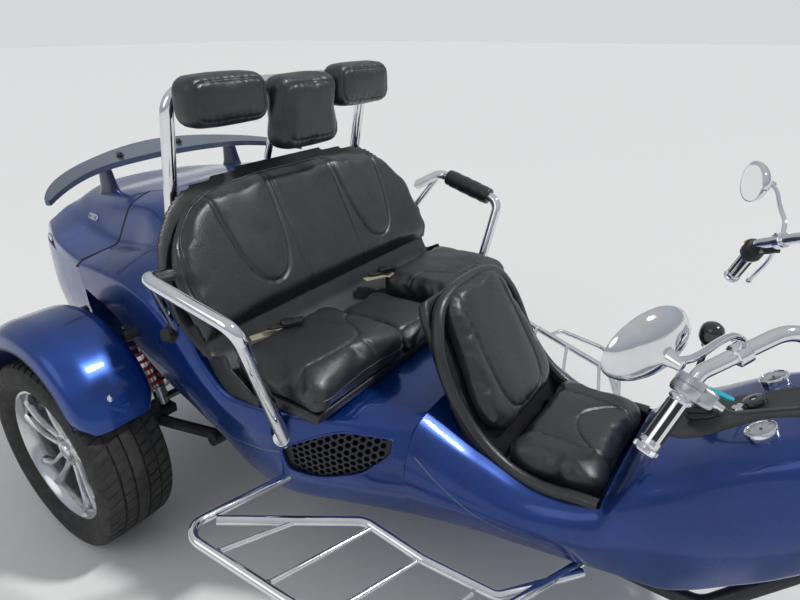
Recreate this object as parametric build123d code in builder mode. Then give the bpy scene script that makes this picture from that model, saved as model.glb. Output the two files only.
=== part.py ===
# Motorized trike: one steered wheel in front, two driven wheels behind, a driver's bucket seat
# and a three-place passenger bench in front of a lidded boot.
# Millimetres. +X is forward, +Y is the driver's left, +Z is up. The origin lies on the ground
# under the middle of the overall length.
import math
import os

from build123d import *

os.makedirs("parts", exist_ok=True)

# Clearances
SEAT_GAP = 0.3
RUNNING_GAP = 0.05
LID_GAP = 8.0

# Overall places
FRONT_AXLE_X = 1436.0
REAR_AXLE_X = -1164.0
TAIL_LAMP_DEPTH = 22.0
TAIL_X = -1724.0
TUB_FRONT_X = -1280.0
LID_HINGE_X = -1177.0
LID_HINGE_Z = 1057.0
RIM_Z = 845.0
BODY_SPLIT_X = -120.0
WALL = 6.0
BODY_ROUND = 26.0
NOSE_ROUND = 22.0

# Rear wheels
REAR_TYRE_R = 322.0
REAR_TYRE_WIDTH = 230.0
REAR_WHEEL_Y = 710.0
REAR_RIM_R = 222.0
REAR_HUB_R = 62.0
SPOKE_PAIRS = 5
DISC_R = 140.0
DISC_THICK = 12.0
HALF_SHAFT_R = 15.0
KNUCKLE_R = 48.0
KNUCKLE_IN_Y = 505.0
KNUCKLE_OUT_Y = 565.0

# Front wheel
FRONT_TYRE_R = 310.0
FRONT_TYRE_WIDTH = 130.0
FRONT_RIM_R = 205.0
FRONT_HUB_R = 34.0
FRONT_AXLE_R = 12.0

# Steering head and fork
RAKE = 36.0
HEAD_Z = 900.0
FORK_OFFSET = 40.0
HEAD_LENGTH = 180.0
HEAD_TUBE_R = 36.0
STEM_R = 24.0
FORK_Y = 112.0
FORK_TUBE_R = 22.0
FORK_SLIDER_R = 29.0
SLIDER_TOP = -360.0
YOKE_THICK = 30.0
YOKE_GAP = 5.0

# Headlamp
LAMP_LEAD = 138.0
LAMP_Z = 925.0
LAMP_R = 85.0

# Rear fenders
FENDER_IN_Y = 585.0
FENDER_OUT_Y = 828.0
FENDER_WALL = 6.0

# Tubes
HOOP_TUBE_R = 19.0
ARM_TUBE_R = 18.0
PAD_TUBE_R = 31.0
PAD_LENGTH = 204.0
BOARD_TUBE_R = 12.5
RUNG_R = 7.0
GUARD_TUBE_R = 9.0
BAR_TUBE_R = 14.0
RAIL_R = 20.0
RAIL_Y = 170.0
RAIL_Z = 262.0
LUG_X = -740.0
LUG_DROP = 36.0
LUG_BORE_R = 11.0
LUG_R = 23.0
LUG_THICK = 12.0

# Bench
BENCH_HALF = 535.0
SHELL_HALF = 547.0
SHELL_FRONT_HALF = 519.0
BENCH_FLOOR_Z = 620.0
CREASE_X = -608.0
CREASE_Z = 790.0
BACK_TOP_X = -793.0
BACK_TOP_Z = 1158.0
BACK_PAD_THICK = 70.0
BACK_SHELL_THICK = 22.0
CUSHION_TOP_Z = 750.0
CUSHION_THICK = 95.0
CUSHION_FRONT_X = -268.0
CUSHION_REAR_X = -598.0
CUSHION_SPLIT_Y = 130.0
CENTRE_DROP = 52.0

# Driver's seat
SEAT_HALF = 250.0
SEAT_PAD_HALF = 215.0
SEAT_FLOOR_Z = 425.0


# The steering axis crosses the head's middle. The head lies behind the front axle by the rake
# and the fork's offset.
rake = math.radians(RAKE)
HEAD_X = FRONT_AXLE_X - (FORK_OFFSET + (HEAD_Z - FRONT_TYRE_R) * math.sin(rake)) / math.cos(rake)
LAMP_REAR_X = HEAD_X + LAMP_LEAD
NOSE_X = HEAD_X - 78.0
steer_plane = Plane(origin=(HEAD_X, 0, HEAD_Z), x_dir=(math.cos(rake), 0, math.sin(rake)),
                    z_dir=(-math.sin(rake), 0, math.cos(rake)))


def from_head(back, y, z):
    """A point that lies back millimetres behind the steering head's middle."""
    return (HEAD_X - back, y, z)


def tube_through(points, radii, tube_r):
    """A round tube that follows straight runs joined by arcs."""
    with BuildPart() as tube:
        with BuildLine() as route:
            if radii:
                FilletPolyline(*points, radius=radii)
            else:
                Line(*points)
        with BuildSketch(Plane(origin=route.line @ 0, z_dir=route.line % 0)):
            Circle(tube_r)
        sweep()
    return tube.part


def rod_between(start, end, radius):
    """A straight round rod between two points."""
    reach = Vector(*end) - Vector(*start)
    with BuildPart() as rod:
        with BuildSketch(Plane(origin=start, z_dir=reach)):
            Circle(radius)
        extrude(amount=reach.length)
    return rod.part


def inset_outline(outline, inset):
    """The half outline with each edge moved square to itself, inwards when inset is positive."""
    ends = [(0.0, outline[0][1])] + outline + [(0.0, outline[-1][1])]
    moved = []
    for before, corner, after in zip(ends, ends[1:], ends[2:]):
        reach_in = Vector(corner[0] - before[0], corner[1] - before[1]).normalized()
        reach_out = Vector(after[0] - corner[0], after[1] - corner[1]).normalized()
        both_normals = Vector(-reach_in.Y - reach_out.Y, reach_in.X + reach_out.X)
        shift = both_normals * (inset / (1 + reach_in.dot(reach_out)))
        moved.append((corner[0] + shift.X, corner[1] + shift.Y))
    return moved


def body_section(x, half_outline, corner_r, inset=0.0, sharp_z=None):
    """One cross-section of the body, mirrored about the centre plane. Corners at sharp_z stay sharp."""
    points = inset_outline(half_outline, inset)
    with BuildSketch(Plane(origin=(x, 0, 0), x_dir=(0, 1, 0), z_dir=(1, 0, 0))) as section:
        with BuildLine():
            Polyline(*points, *[(-y, z) for y, z in reversed(points)], close=True)
        make_face()
        rounded = [corner for corner in section.vertices() if sharp_z is None or abs(corner.Y - sharp_z) > 1]
        fillet(rounded, corner_r)
    return section.sketch


def save(part, node):
    """Label one finished piece and write its file."""
    part.label = node
    export_step(part, f"parts/{node}.step")


def both_sides(part):
    """The piece and its mirror image, as two solids of one node."""
    return Compound(children=[part, mirror(part, about=Plane.XZ)])


# Seam between the deck and the lid: a plane that leans back towards the wheel arches
seam_lean = math.degrees(math.atan2(LID_HINGE_X - TUB_FRONT_X, LID_HINGE_Z - RIM_Z))
seam_plane = Plane(origin=(TUB_FRONT_X, 0, RIM_Z), x_dir=(0, 1, 0),
                   z_dir=(math.cos(math.radians(seam_lean)), 0,
                          -math.sin(math.radians(seam_lean))))

# Rear body: station x, then bottom, side, shelf edge, shelf foot, wall top, deck edge as (y, z)
REAR_STATIONS = [
    (TUB_FRONT_X, [(470, 455), (535, 700), (538, 862), (400, 889), (368, 1012), (306, 1042)]),
    (LID_HINGE_X, [(472, 450), (540, 685), (546, 870), (404, 902), (374, 1030), (310, 1060)]),
    (-1040.0, [(476, 436), (543, 650), (554, 868), (425, 925), (384, 1048), (310, 1078)]),
    (-900.0, [(480, 420), (545, 610), (558, 828), (450, 932), (398, 1046), (304, 1084)]),
    (-800.0, [(485, 395), (545, 560), (557, 742), (520, 850), (430, 916), (300, 934)]),
    (-700.0, [(490, 370), (540, 500), (554, 630), (541, 680), (430, 688), (300, 692)]),
    (-600.0, [(495, 330), (532, 450), (548, 560), (536, 609), (440, 618), (300, 620)]),
    (-480.0, [(480, 296), (522, 400), (536, 530), (518, 605), (430, 617), (300, 620)]),
    (-300.0, [(412, 288), (462, 395), (468, 500), (440, 597), (370, 614), (240, 620)]),
    (BODY_SPLIT_X, [(345, 286), (390, 400), (392, 500), (350, 588), (290, 604), (200, 610)]),
]
ARCH_OUTLINE = [(-560, 200), (-781, 470), (-922, 513), (-1019, 627), (-1093, 729),
                (-1263, 775), (-1400, 775), (-1400, 200)]

HOOP_TOP_X = -852.0
HOOP_TOP_Z = 1390.0
HOOP_ROUTE = [(-925, -415, 1000), (HOOP_TOP_X, -415, HOOP_TOP_Z), (HOOP_TOP_X, 415, HOOP_TOP_Z),
              (-925, 415, 1000)]
HOOP_BENDS = [62, 62]
POST_FOOT = (-975.0, 0.0, 1060.0)
POST_HEAD = (-868.0, 0.0, 1340.0)

with BuildPart() as hoop_clearance:
    add(tube_through(HOOP_ROUTE, HOOP_BENDS, HOOP_TUBE_R + SEAT_GAP))
    add(rod_between(POST_FOOT, POST_HEAD, HOOP_TUBE_R * 0.6 + SEAT_GAP))

# The passengers' arm tubes, right side: fixing on the bench's side, rear corner, front bend,
# end on the body's flank
ARM_ROUTE = [(-764, -BENCH_HALF + 20, 933), (-671, -677, 996), (-394, -653, 926), (-434, -497, 487)]
ARM_BENDS = [45, 48]

# Running boards, right side. The tubes fall and draw in towards the front.
BOARD_SLOPE = -0.222
BOARD_TAPER = -0.14
BOARD_REF_X = -258.0
BOARD_REF_Y = 789.0
BOARD_REF_Z = 369.0


def board_point(x, inset=0.0):
    """A point on the outer tube's line at x, moved inboard by inset."""
    along = x - BOARD_REF_X
    return (x, -(BOARD_REF_Y + BOARD_TAPER * along - inset), BOARD_REF_Z + BOARD_SLOPE * along)


BOARD_OUTER = [(-432, -440, 378), board_point(-490), board_point(92),
               (182, -554, 288), (330, -180, 262)]
BOARD_OUTER_BENDS = [45, 60, 60]
BOARD_INNER = [board_point(-452, 74), (-180, -487, 352), (-3, -480, 318), (186, -440, 278),
               (330, -240, 262)]
board_clearance = tube_through(BOARD_OUTER[:3], BOARD_OUTER_BENDS[:1], BOARD_TUBE_R + SEAT_GAP)

# Air intake on each flank: its outline in side view, and the grille that stands behind it
INTAKE_OUTLINE = [(-436, 505), (-424, 425), (-345, 410), (-230, 450), (-158, 520), (-160, 560), (-290, 566)]
GRILLE_CENTRE = (-295, 493)
GRILLE_THICK = 3.0
CELL_R = 10.0
HOLE_R = 8.0
VENT_PLACE = (-452, 545)


def body_loft(stations, corner_r, inset=0.0):
    """The solid through a table of body sections."""
    with BuildPart() as body:
        loft(sections=[body_section(x, pts, corner_r, inset) for x, pts in stations], ruled=True)
    return body.part


# What stands on the right flank is cut to the body's form, held off by the seat gap
outer_body = body_loft(REAR_STATIONS, BODY_ROUND)
flank_clearance = outer_body.moved(Location((0, -SEAT_GAP, 0)))


with BuildPart() as rear_body:
    add(outer_body)
    add(body_loft(REAR_STATIONS, BODY_ROUND - WALL, WALL), mode=Mode.SUBTRACT)
    with BuildSketch(Plane.XZ):
        with BuildLine():
            Polyline(*ARCH_OUTLINE, close=True)
        make_face()
    extrude(amount=700, both=True, mode=Mode.SUBTRACT)
    with BuildSketch(Plane.XZ) as flank_holes:
        with BuildLine():
            Polyline(*INTAKE_OUTLINE, close=True)
        make_face()
        fillet(flank_holes.vertices(), 14)
        with Locations(Location(VENT_PLACE, 20)):
            Ellipse(9, 17)
    extrude(amount=700, both=True, mode=Mode.SUBTRACT)
    split(bisect_by=seam_plane, keep=Keep.TOP)
    add(hoop_clearance.part, mode=Mode.SUBTRACT)
    add(board_clearance, mode=Mode.SUBTRACT)
    add(mirror(board_clearance, about=Plane.XZ), mode=Mode.SUBTRACT)
save(rear_body.part, "rear_body")

# Grille: a perforated sheet set back from the flank, held by the body's inner wall
with BuildPart() as grille:
    add(body_loft(REAR_STATIONS[-3:], BODY_ROUND - WALL, WALL + SEAT_GAP))
    add(body_loft(REAR_STATIONS[-3:], BODY_ROUND - WALL, WALL + SEAT_GAP + GRILLE_THICK), mode=Mode.SUBTRACT)
    with BuildSketch(Plane.XZ.offset(200)):
        with Locations(GRILLE_CENTRE):
            RectangleRounded(330, 174, 20)
    extrude(amount=400, mode=Mode.INTERSECT)
    with BuildSketch(Plane.XZ.offset(200)):
        with Locations(GRILLE_CENTRE):
            with HexLocations(CELL_R, 14, 9):
                RegularPolygon(HOLE_R, 6)
    extrude(amount=400, mode=Mode.SUBTRACT)
save(both_sides(grille.part), "intake_grilles")

# Front body: station x, then bottom, side, flank, shoulder, top as (y, z)
FRONT_STATIONS = [
    (BODY_SPLIT_X, [(345, 286), (390, 400), (392, 500), (350, 588), (230, 610)]),
    (30.0, [(300, 285), (352, 390), (342, 455), (306, 512), (200, 526)]),
    (200.0, [(268, 285), (318, 385), (308, 428), (278, 464), (180, 474)]),
    (352.0, [(240, 286), (290, 400), (284, 442), (256, 498), (170, 510)]),
    (392.0, [(234, 287), (284, 430), (272, 510), (236, 572), (120, 594)]),
    (489.0, [(220, 290), (268, 470), (256, 570), (226, 636), (150, 660)]),
    (655.0, [(198, 385), (244, 550), (238, 660), (212, 746), (160, 772)]),
    (NOSE_X - 100, [(165, 480), (215, 620), (208, 720), (182, 796), (100, 828)]),
    (NOSE_X, [(115, 575), (160, 680), (152, 760), (128, 812), (80, 840)]),
]
# The driver's seat stands in a pocket whose rear follows the seat's back
SEAT_POCKET = [(-131, 716), (-5.4, 503.4), (-SEAT_GAP, SEAT_FLOOR_Z), (347, SEAT_FLOOR_Z), (347, 716)]
with BuildPart() as front_body:
    add(body_loft(FRONT_STATIONS, NOSE_ROUND))
    with BuildSketch(Plane.XZ):
        with BuildLine():
            Polyline(*SEAT_POCKET, close=True)
        make_face()
    extrude(amount=SEAT_HALF + SEAT_GAP, both=True, mode=Mode.SUBTRACT)
save(front_body.part, "front_body")

# Boot tub: station x, then bottom, side and rim as (y, z)
TUB_STATIONS = [
    (TUB_FRONT_X, [(470, 455), (533, 700), (530, RIM_Z)]),
    (TUB_FRONT_X + 0.509 * (TAIL_X - TUB_FRONT_X), [(455, 470), (500, 700), (488, RIM_Z)]),
    (TAIL_X, [(380, 540), (402, 700), (405, RIM_Z)]),
]
LID_LIP = 9.0


with BuildPart() as tub_form:
    loft(sections=[body_section(x, pts, BODY_ROUND, 0.0, RIM_Z) for x, pts in TUB_STATIONS], ruled=True)
outer_tub = tub_form.part
with BuildPart() as boot_tub:
    add(outer_tub)
    inner = []
    for x, pts in TUB_STATIONS:
        inward = -WALL if x == TUB_FRONT_X else WALL if x == TAIL_X else 0.0
        raised = [(y - WALL, z + WALL) for y, z in pts[:-1]] + [(pts[-1][0] - WALL, RIM_Z + LID_LIP)]
        inner.append(body_section(x + inward, raised, BODY_ROUND - WALL, 0.0, RIM_Z + LID_LIP))
    loft(sections=inner, ruled=True, mode=Mode.SUBTRACT)
save(boot_tub.part, "boot_tub")

# Boot lid: share of its length from the hinge, then rim, shelf edge, shelf foot, wall top, deck edge
LID_RIM_Z = RIM_Z + SEAT_GAP
LID_LENGTH = LID_HINGE_X - TAIL_X
LID_SHARES = [
    (0.0, [(541, LID_RIM_Z), (538, 864), (400, 890), (372, 1022), (310, 1055)]),
    (0.298, [(522, LID_RIM_Z), (520, 872), (390, 894), (356, 1002), (300, 1034)]),
    (0.590, [(489, LID_RIM_Z), (487, 884), (374, 906), (326, 984), (276, 1010)]),
    (0.846, [(436, LID_RIM_Z), (432, 893), (340, 926), (286, 972), (222, 998)]),
    (1.0, [(405, LID_RIM_Z), (396, 888), (322, 930), (222, 958), (130, 990)]),
]
LID_STATIONS = [(LID_HINGE_X - share * LID_LENGTH, pts) for share, pts in LID_SHARES]
LID_ROUND = 16.0
PYLON_X = -1458.0
PYLON_Y = 278.0
PYLON_FOOT_Z = 1000.0

# Spoiler: a plan outline on a blade that rises rearward
SPOILER_RISE = 0.30
SPOILER_THICK = 20.0
SPOILER_DATUM_X = -1300.0
SPOILER_DATUM_Z = 1050.0
spoiler_way = Vector(-1, 0, SPOILER_RISE)


def above_blade(underside_drop, thick):
    """Everything from the blade's underside, lowered by the drop, up through a thickness."""
    low = SPOILER_DATUM_Z - underside_drop
    with BuildPart() as slab:
        with BuildSketch(Plane.YZ.offset(SPOILER_DATUM_X)):
            with BuildLine():
                ThreePointArc((-600, low - 12), (0, low), (600, low - 12))
                Line((600, low - 12), (600, low + thick - 16))
                ThreePointArc((600, low + thick - 16), (0, low + thick), (-600, low + thick - 16))
                Line((-600, low + thick - 16), (-600, low - 12))
            make_face()
        extrude(amount=340, dir=spoiler_way)
    return slab.part


with BuildPart() as pylon:
    with BuildSketch(Plane.XY.offset(PYLON_FOOT_Z)):
        RectangleRounded(96, 34, 14)
    with BuildSketch(Plane.XY.offset(PYLON_FOOT_Z + 160)):
        with Locations((-14, 0)):
            RectangleRounded(64, 22, 10)
    loft()
    add(above_blade(SEAT_GAP, 200).moved(Location((-PYLON_X, -PYLON_Y, 0))), mode=Mode.SUBTRACT)
with BuildPart() as boot_lid:
    loft(sections=[body_section(x, pts, LID_ROUND, 0.0, LID_RIM_Z) for x, pts in LID_STATIONS], ruled=True)
    inner = []
    for x, pts in LID_STATIONS:
        inward = WALL if x == TAIL_X else 0.0
        lowered = [(pts[0][0] - WALL, RIM_Z - LID_LIP)] + [(y - WALL, z - WALL) for y, z in pts[1:]]
        inner.append(body_section(x + inward, lowered, LID_ROUND - WALL, 0.0, RIM_Z - LID_LIP))
    loft(sections=inner, ruled=True, mode=Mode.SUBTRACT)
    split(bisect_by=seam_plane.offset(-LID_GAP), keep=Keep.BOTTOM)
    # Pylons that carry the spoiler
    left_pylon = pylon.part.moved(Location((PYLON_X, PYLON_Y, 0)))
    add(left_pylon)
    add(mirror(left_pylon, about=Plane.XZ))
save(boot_lid.part, "boot_lid")

with BuildPart() as spoiler:
    with BuildSketch(Plane.XY.offset(1020)):
        with BuildLine():
            Spline((-1322, 548), (-1371, 472), (-1430, 330), (-1452, 180), (-1452, -180),
                   (-1430, -330), (-1371, -472), (-1322, -548))
            ThreePointArc((-1322, -548), (-1321, -560), (-1335, -562))
            Spline((-1335, -562), (-1400, -505), (-1450, -430), (-1500, -310), (-1560, 0),
                   (-1500, 310), (-1450, 430), (-1400, 505), (-1335, 562))
            ThreePointArc((-1335, 562), (-1321, 560), (-1322, 548))
        make_face()
    extrude(amount=200)
    add(above_blade(0.0, SPOILER_THICK), mode=Mode.INTERSECT)
save(spoiler.part, "spoiler")

# Bench: the back's line leans rearward; its normal points forward
back_rise = Vector(BACK_TOP_X - CREASE_X, 0, BACK_TOP_Z - CREASE_Z)
back_up = back_rise.normalized()
back_normal = Vector(back_up.Z, 0, -back_up.X)
back_plane = Plane(origin=(CREASE_X, 0, CREASE_Z), x_dir=(0, 1, 0), z_dir=back_normal)
BACK_DROP = 40.0


def behind_back(along, depth):
    """Side-view point behind the backrest's front face, along its length from the crease."""
    point = Vector(CREASE_X, 0, CREASE_Z) + back_up * along - back_normal * depth
    return (point.X, point.Z)


# Backrest outline, half across and up the back from the crease: widest low down, drawn in to a
# rounded top
BACK_CORNERS = [(560, -BACK_DROP), (598, 90), (572, 262), (440, 412), (170, 442)]
BACK_ROUND = 240.0


def back_outline(depth, grow=0.0):
    """The backrest's outline on a plane that lies depth behind its front face."""
    with BuildSketch(back_plane.offset(-depth)) as outline:
        with BuildLine():
            Polyline(*BACK_CORNERS, *[(-across, up) for across, up in reversed(BACK_CORNERS)], close=True)
        make_face()
        fillet([corner for corner in outline.vertices() if corner.Y > 0], BACK_ROUND)
        if grow:
            offset(amount=grow, kind=Kind.INTERSECTION)
    return outline.sketch


with BuildPart() as bench_back:
    add(back_outline(BACK_PAD_THICK))
    extrude(amount=BACK_PAD_THICK)
    fillet(bench_back.faces().sort_by(Axis((0, 0, 0), back_normal))[-1].edges(), 24)
save(bench_back.part, "bench_back")

shell_depth = BACK_PAD_THICK + BACK_SHELL_THICK
BACK_RIM_INSET = 5.0
with BuildPart() as bench_shell:
    add(back_outline(shell_depth, -BACK_RIM_INSET))
    extrude(amount=BACK_SHELL_THICK - SEAT_GAP)
    with BuildSketch(Plane.XZ):
        with BuildLine():
            Polyline(behind_back(60, BACK_PAD_THICK + SEAT_GAP),
                     behind_back(60, shell_depth),
                     behind_back(-95, shell_depth),
                     (-600, BENCH_FLOOR_Z + SEAT_GAP),
                     (-300, BENCH_FLOOR_Z + SEAT_GAP),
                     (-292, CUSHION_TOP_Z - CUSHION_THICK - SEAT_GAP),
                     (CUSHION_REAR_X - 2, CUSHION_TOP_Z - CUSHION_THICK - SEAT_GAP),
                     behind_back(-BACK_DROP - 6, BACK_PAD_THICK + SEAT_GAP), close=True)
        make_face()
    extrude(amount=SHELL_HALF, both=True)
    # The base draws in under the cushions' front, clear of the arm tubes
    with BuildSketch(Plane.XY.offset(BENCH_FLOOR_Z)):
        for side in (-1, 1):
            with Locations((-380, side * (SHELL_FRONT_HALF + 50))):
                Rectangle(200, 100)
    extrude(amount=CUSHION_THICK, mode=Mode.SUBTRACT)
    # Cheeks that close the sides of the crease, from the backrest's foot down to the base
    for side in (-1, 1):
        with BuildSketch(Plane.XZ.offset(-side * (SHELL_HALF + BENCH_HALF + SEAT_GAP) / 2)):
            with BuildLine():
                Polyline(behind_back(20, shell_depth), behind_back(-95, shell_depth),
                         (-600, BENCH_FLOOR_Z + SEAT_GAP), (-482, BENCH_FLOOR_Z + SEAT_GAP),
                         (-505, 668), (-575, 712), behind_back(-BACK_DROP - SEAT_GAP, 0),
                         behind_back(-BACK_DROP - SEAT_GAP, BACK_PAD_THICK + SEAT_GAP),
                         behind_back(20, BACK_PAD_THICK + SEAT_GAP), close=True)
            make_face()
        extrude(amount=(SHELL_HALF - BENCH_HALF - SEAT_GAP) / 2, both=True)
save(bench_shell.part, "bench_shell")

cushion_bottom = CUSHION_TOP_Z - CUSHION_THICK
cushions = []
for low_y, high_y, top_z in [
    (-BENCH_HALF, -CUSHION_SPLIT_Y - SEAT_GAP, CUSHION_TOP_Z),
    (-CUSHION_SPLIT_Y, CUSHION_SPLIT_Y, CUSHION_TOP_Z - CENTRE_DROP),
    (CUSHION_SPLIT_Y + SEAT_GAP, BENCH_HALF, CUSHION_TOP_Z),
]:
    with BuildPart() as cushion:
        with BuildSketch(Plane.XY.offset(cushion_bottom)):
            with Locations(((CUSHION_FRONT_X + CUSHION_REAR_X) / 2, (low_y + high_y) / 2)):
                RectangleRounded(CUSHION_FRONT_X - CUSHION_REAR_X, high_y - low_y, 40)
        extrude(amount=top_z - cushion_bottom)
        fillet(cushion.faces().sort_by(Axis.Z)[-1].edges(), 20)
    cushions.append(cushion.part)
save(Compound(children=cushions), "bench_cushions")

# Headrests: middle y, middle z, width, height, middle x
HEADRESTS = [(-291, 1364, 278, 133, -783), (0, 1307, 262, 215, -768), (291, 1364, 278, 133, -783)]
HEADREST_DEPTH = 92.0
rolls = []
for mid_y, mid_z, width, height, mid_x in HEADRESTS:
    with BuildPart() as roll:
        with BuildSketch(Plane.YZ.offset(mid_x - HEADREST_DEPTH / 2)):
            with Locations((mid_y, mid_z)):
                RectangleRounded(width, height, 42)
        extrude(amount=HEADREST_DEPTH)
        fillet(roll.faces().sort_by(Axis.X)[-1].edges(), 30)
        fillet(roll.faces().sort_by(Axis.X)[0].edges(), 26)
    rolls.append(roll.part)
save(Compound(children=rolls), "headrests")

with BuildPart() as headrest_hoop:
    add(tube_through(HOOP_ROUTE, HOOP_BENDS, HOOP_TUBE_R))
    add(rod_between(POST_FOOT, POST_HEAD, HOOP_TUBE_R * 0.6))
    for mid_y, mid_z, width, height, mid_x in HEADRESTS:
        with BuildSketch(Plane.YZ.offset(HOOP_TOP_X)):
            with Locations((mid_y, HOOP_TOP_Z - 20)):
                Rectangle(90, 50)
        extrude(amount=mid_x - HEADREST_DEPTH / 2 - SEAT_GAP - HOOP_TOP_X)
save(headrest_hoop.part, "headrest_hoop")

with BuildPart() as bench_clearance:
    add(back_outline(shell_depth + SEAT_GAP, SEAT_GAP))
    extrude(amount=shell_depth + 60)
# The tube's lower end is cut slanting, to lie on the flank
flank_seat = Plane(origin=(-434, -516.9, 531), x_dir=(0.901, 0.376, 0), z_dir=(0.376, -0.901, 0.216))
with BuildPart() as arm_side:
    add(tube_through(ARM_ROUTE, ARM_BENDS, ARM_TUBE_R))
    with BuildSketch(flank_seat):
        Rectangle(240, 240)
    extrude(amount=-80, mode=Mode.SUBTRACT)
    add(rod_between((-680, -663, 978), (-812, -530, 745), 12))
    add(rod_between((-806, -570, 757), (-816, -520, 741), 18))
    # The tube ends on the bench's side and on the body's flank, the stay on the body
    add(bench_clearance.part, mode=Mode.SUBTRACT)
    add(flank_clearance, mode=Mode.SUBTRACT)
save(both_sides(arm_side.part), "arm_tubes")

# Pad on the left arm tube only
pad_from = Vector(-671, 677, 996)
pad_to = Vector(-394, 653, 926)
pad_axis = Plane(origin=pad_from + (pad_to - pad_from) * 0.14, z_dir=pad_to - pad_from)
with BuildPart() as arm_pad:
    with BuildSketch(pad_axis):
        Circle(PAD_TUBE_R)
        Circle(ARM_TUBE_R + SEAT_GAP, mode=Mode.SUBTRACT)
    extrude(amount=PAD_LENGTH)
save(arm_pad.part, "arm_pad")

# Running boards
RUNG_LEAN = 88.0
RUNG_PITCH = 145.0
FIRST_RUNG_X = -387.0
RUNGS = 4
GUARD_ROUTE = [board_point(-182), (-150, -845, 352), (36, -850, 322), (142, -700, 300),
               (182, -554, 288)]
with BuildPart() as board_right:
    add(tube_through(BOARD_OUTER, BOARD_OUTER_BENDS, BOARD_TUBE_R))
    add(tube_through(BOARD_INNER, [60, 60, 40], BOARD_TUBE_R))
    for rung in range(RUNGS):
        rung_x = FIRST_RUNG_X + rung * RUNG_PITCH
        outer_end = board_point(rung_x)
        inner_end = board_point(rung_x + RUNG_LEAN, [205, 285, 278, 262][rung])
        add(rod_between(outer_end, inner_end, RUNG_R))
    add(tube_through(GUARD_ROUTE, [30, 60, 40], GUARD_TUBE_R))
    add(rod_between((0, -RAIL_Y, RAIL_Z), (600, -RAIL_Y, RAIL_Z), RAIL_R + SEAT_GAP),
        mode=Mode.SUBTRACT)
    split(bisect_by=Plane.XZ.offset(RAIL_Y), keep=Keep.TOP)
save(both_sides(board_right.part), "running_boards")

# Driver's seat. Its back leans like the bench's.
SEAT_CREASE = Vector(74, 0, 516)
seat_rise = Vector(-160, 0, 903) - SEAT_CREASE
SEAT_BACK_LENGTH = seat_rise.length
SEAT_PAD_THICK = 45.0
SEAT_SHELL_DEPTH = 74.0
CUSHION_BOTTOM_Z = 445.0
SEAT_CUSHION_TOP_Z = 530.0
seat_up = seat_rise.normalized()
seat_normal = Vector(seat_up.Z, 0, -seat_up.X)
seat_back_plane = Plane(origin=SEAT_CREASE, x_dir=(0, 1, 0), z_dir=seat_normal)


def behind_seat(along, depth):
    """Side-view point behind the driver's backrest, along its length from the crease."""
    point = SEAT_CREASE + seat_up * along - seat_normal * depth
    return (point.X, point.Z)


# Side view of the shell's rim: top of the back, then down and forward to the front lip
SEAT_EDGE = [(-161, 905), (-66, 650), (22, 540), (139, 478), (315, 496)]
with BuildPart() as driver_shell:
    with BuildSketch(Plane.XZ) as seat_side:
        with BuildLine():
            Polyline(SEAT_EDGE[0], *SEAT_EDGE[1:], (346, 484),
                     (300, SEAT_FLOOR_Z + SEAT_GAP), (0, SEAT_FLOOR_Z + SEAT_GAP),
                     behind_seat(30, SEAT_SHELL_DEPTH),
                     behind_seat(SEAT_BACK_LENGTH - 12, SEAT_SHELL_DEPTH - 4), close=True)
        make_face()
        for corner in SEAT_EDGE[1:-1]:
            fillet(seat_side.vertices().sort_by_distance(Vector(*corner))[0], 60)
    extrude(amount=SEAT_HALF, both=True)
    with BuildSketch(Plane.YZ.offset(-300)) as seat_front:
        with BuildLine():
            Polyline((-SEAT_HALF, 400), (SEAT_HALF, 400), (SEAT_HALF, 620), (200, 910),
                     (-200, 910), (-SEAT_HALF, 620), close=True)
        make_face()
        fillet(seat_front.vertices().group_by(Axis.Y)[-1], 130)
        fillet(seat_front.vertices().group_by(Axis.Y)[-2], 200)
    extrude(amount=800, mode=Mode.INTERSECT)
    # Bucket that holds the back pad and the cushion
    with BuildSketch(Plane.XZ):
        with BuildLine():
            Polyline((60, 935), behind_seat(SEAT_BACK_LENGTH + 60, SEAT_PAD_THICK + SEAT_GAP),
                     behind_seat(-30, SEAT_PAD_THICK + SEAT_GAP), (60, CUSHION_BOTTOM_Z),
                     (400, CUSHION_BOTTOM_Z), (400, 700), close=True)
        make_face()
    extrude(amount=SEAT_PAD_HALF + SEAT_GAP, both=True, mode=Mode.SUBTRACT)
save(driver_shell.part, "driver_shell")

with BuildPart() as driver_back:
    with BuildSketch(seat_back_plane.offset(-SEAT_PAD_THICK)) as seat_face:
        with BuildLine():
            Polyline((-SEAT_PAD_HALF, 34), (SEAT_PAD_HALF, 34), (SEAT_PAD_HALF, 150),
                     (160, SEAT_BACK_LENGTH), (-160, SEAT_BACK_LENGTH), (-SEAT_PAD_HALF, 150),
                     close=True)
        make_face()
        fillet(seat_face.vertices().group_by(Axis.Z)[-1], 95)
    extrude(amount=SEAT_PAD_THICK)
with BuildPart() as driver_cushion:
    with BuildSketch(Plane.XY.offset(CUSHION_BOTTOM_Z + SEAT_GAP)):
        with Locations((205, 0)):
            RectangleRounded(268, 2 * SEAT_PAD_HALF, 45)
    extrude(amount=SEAT_CUSHION_TOP_Z - CUSHION_BOTTOM_Z - SEAT_GAP)
    fillet(driver_cushion.faces().sort_by(Axis.Z)[-1].edges(), 22)
save(Compound(children=[driver_back.part, driver_cushion.part]), "driver_pads")

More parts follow.
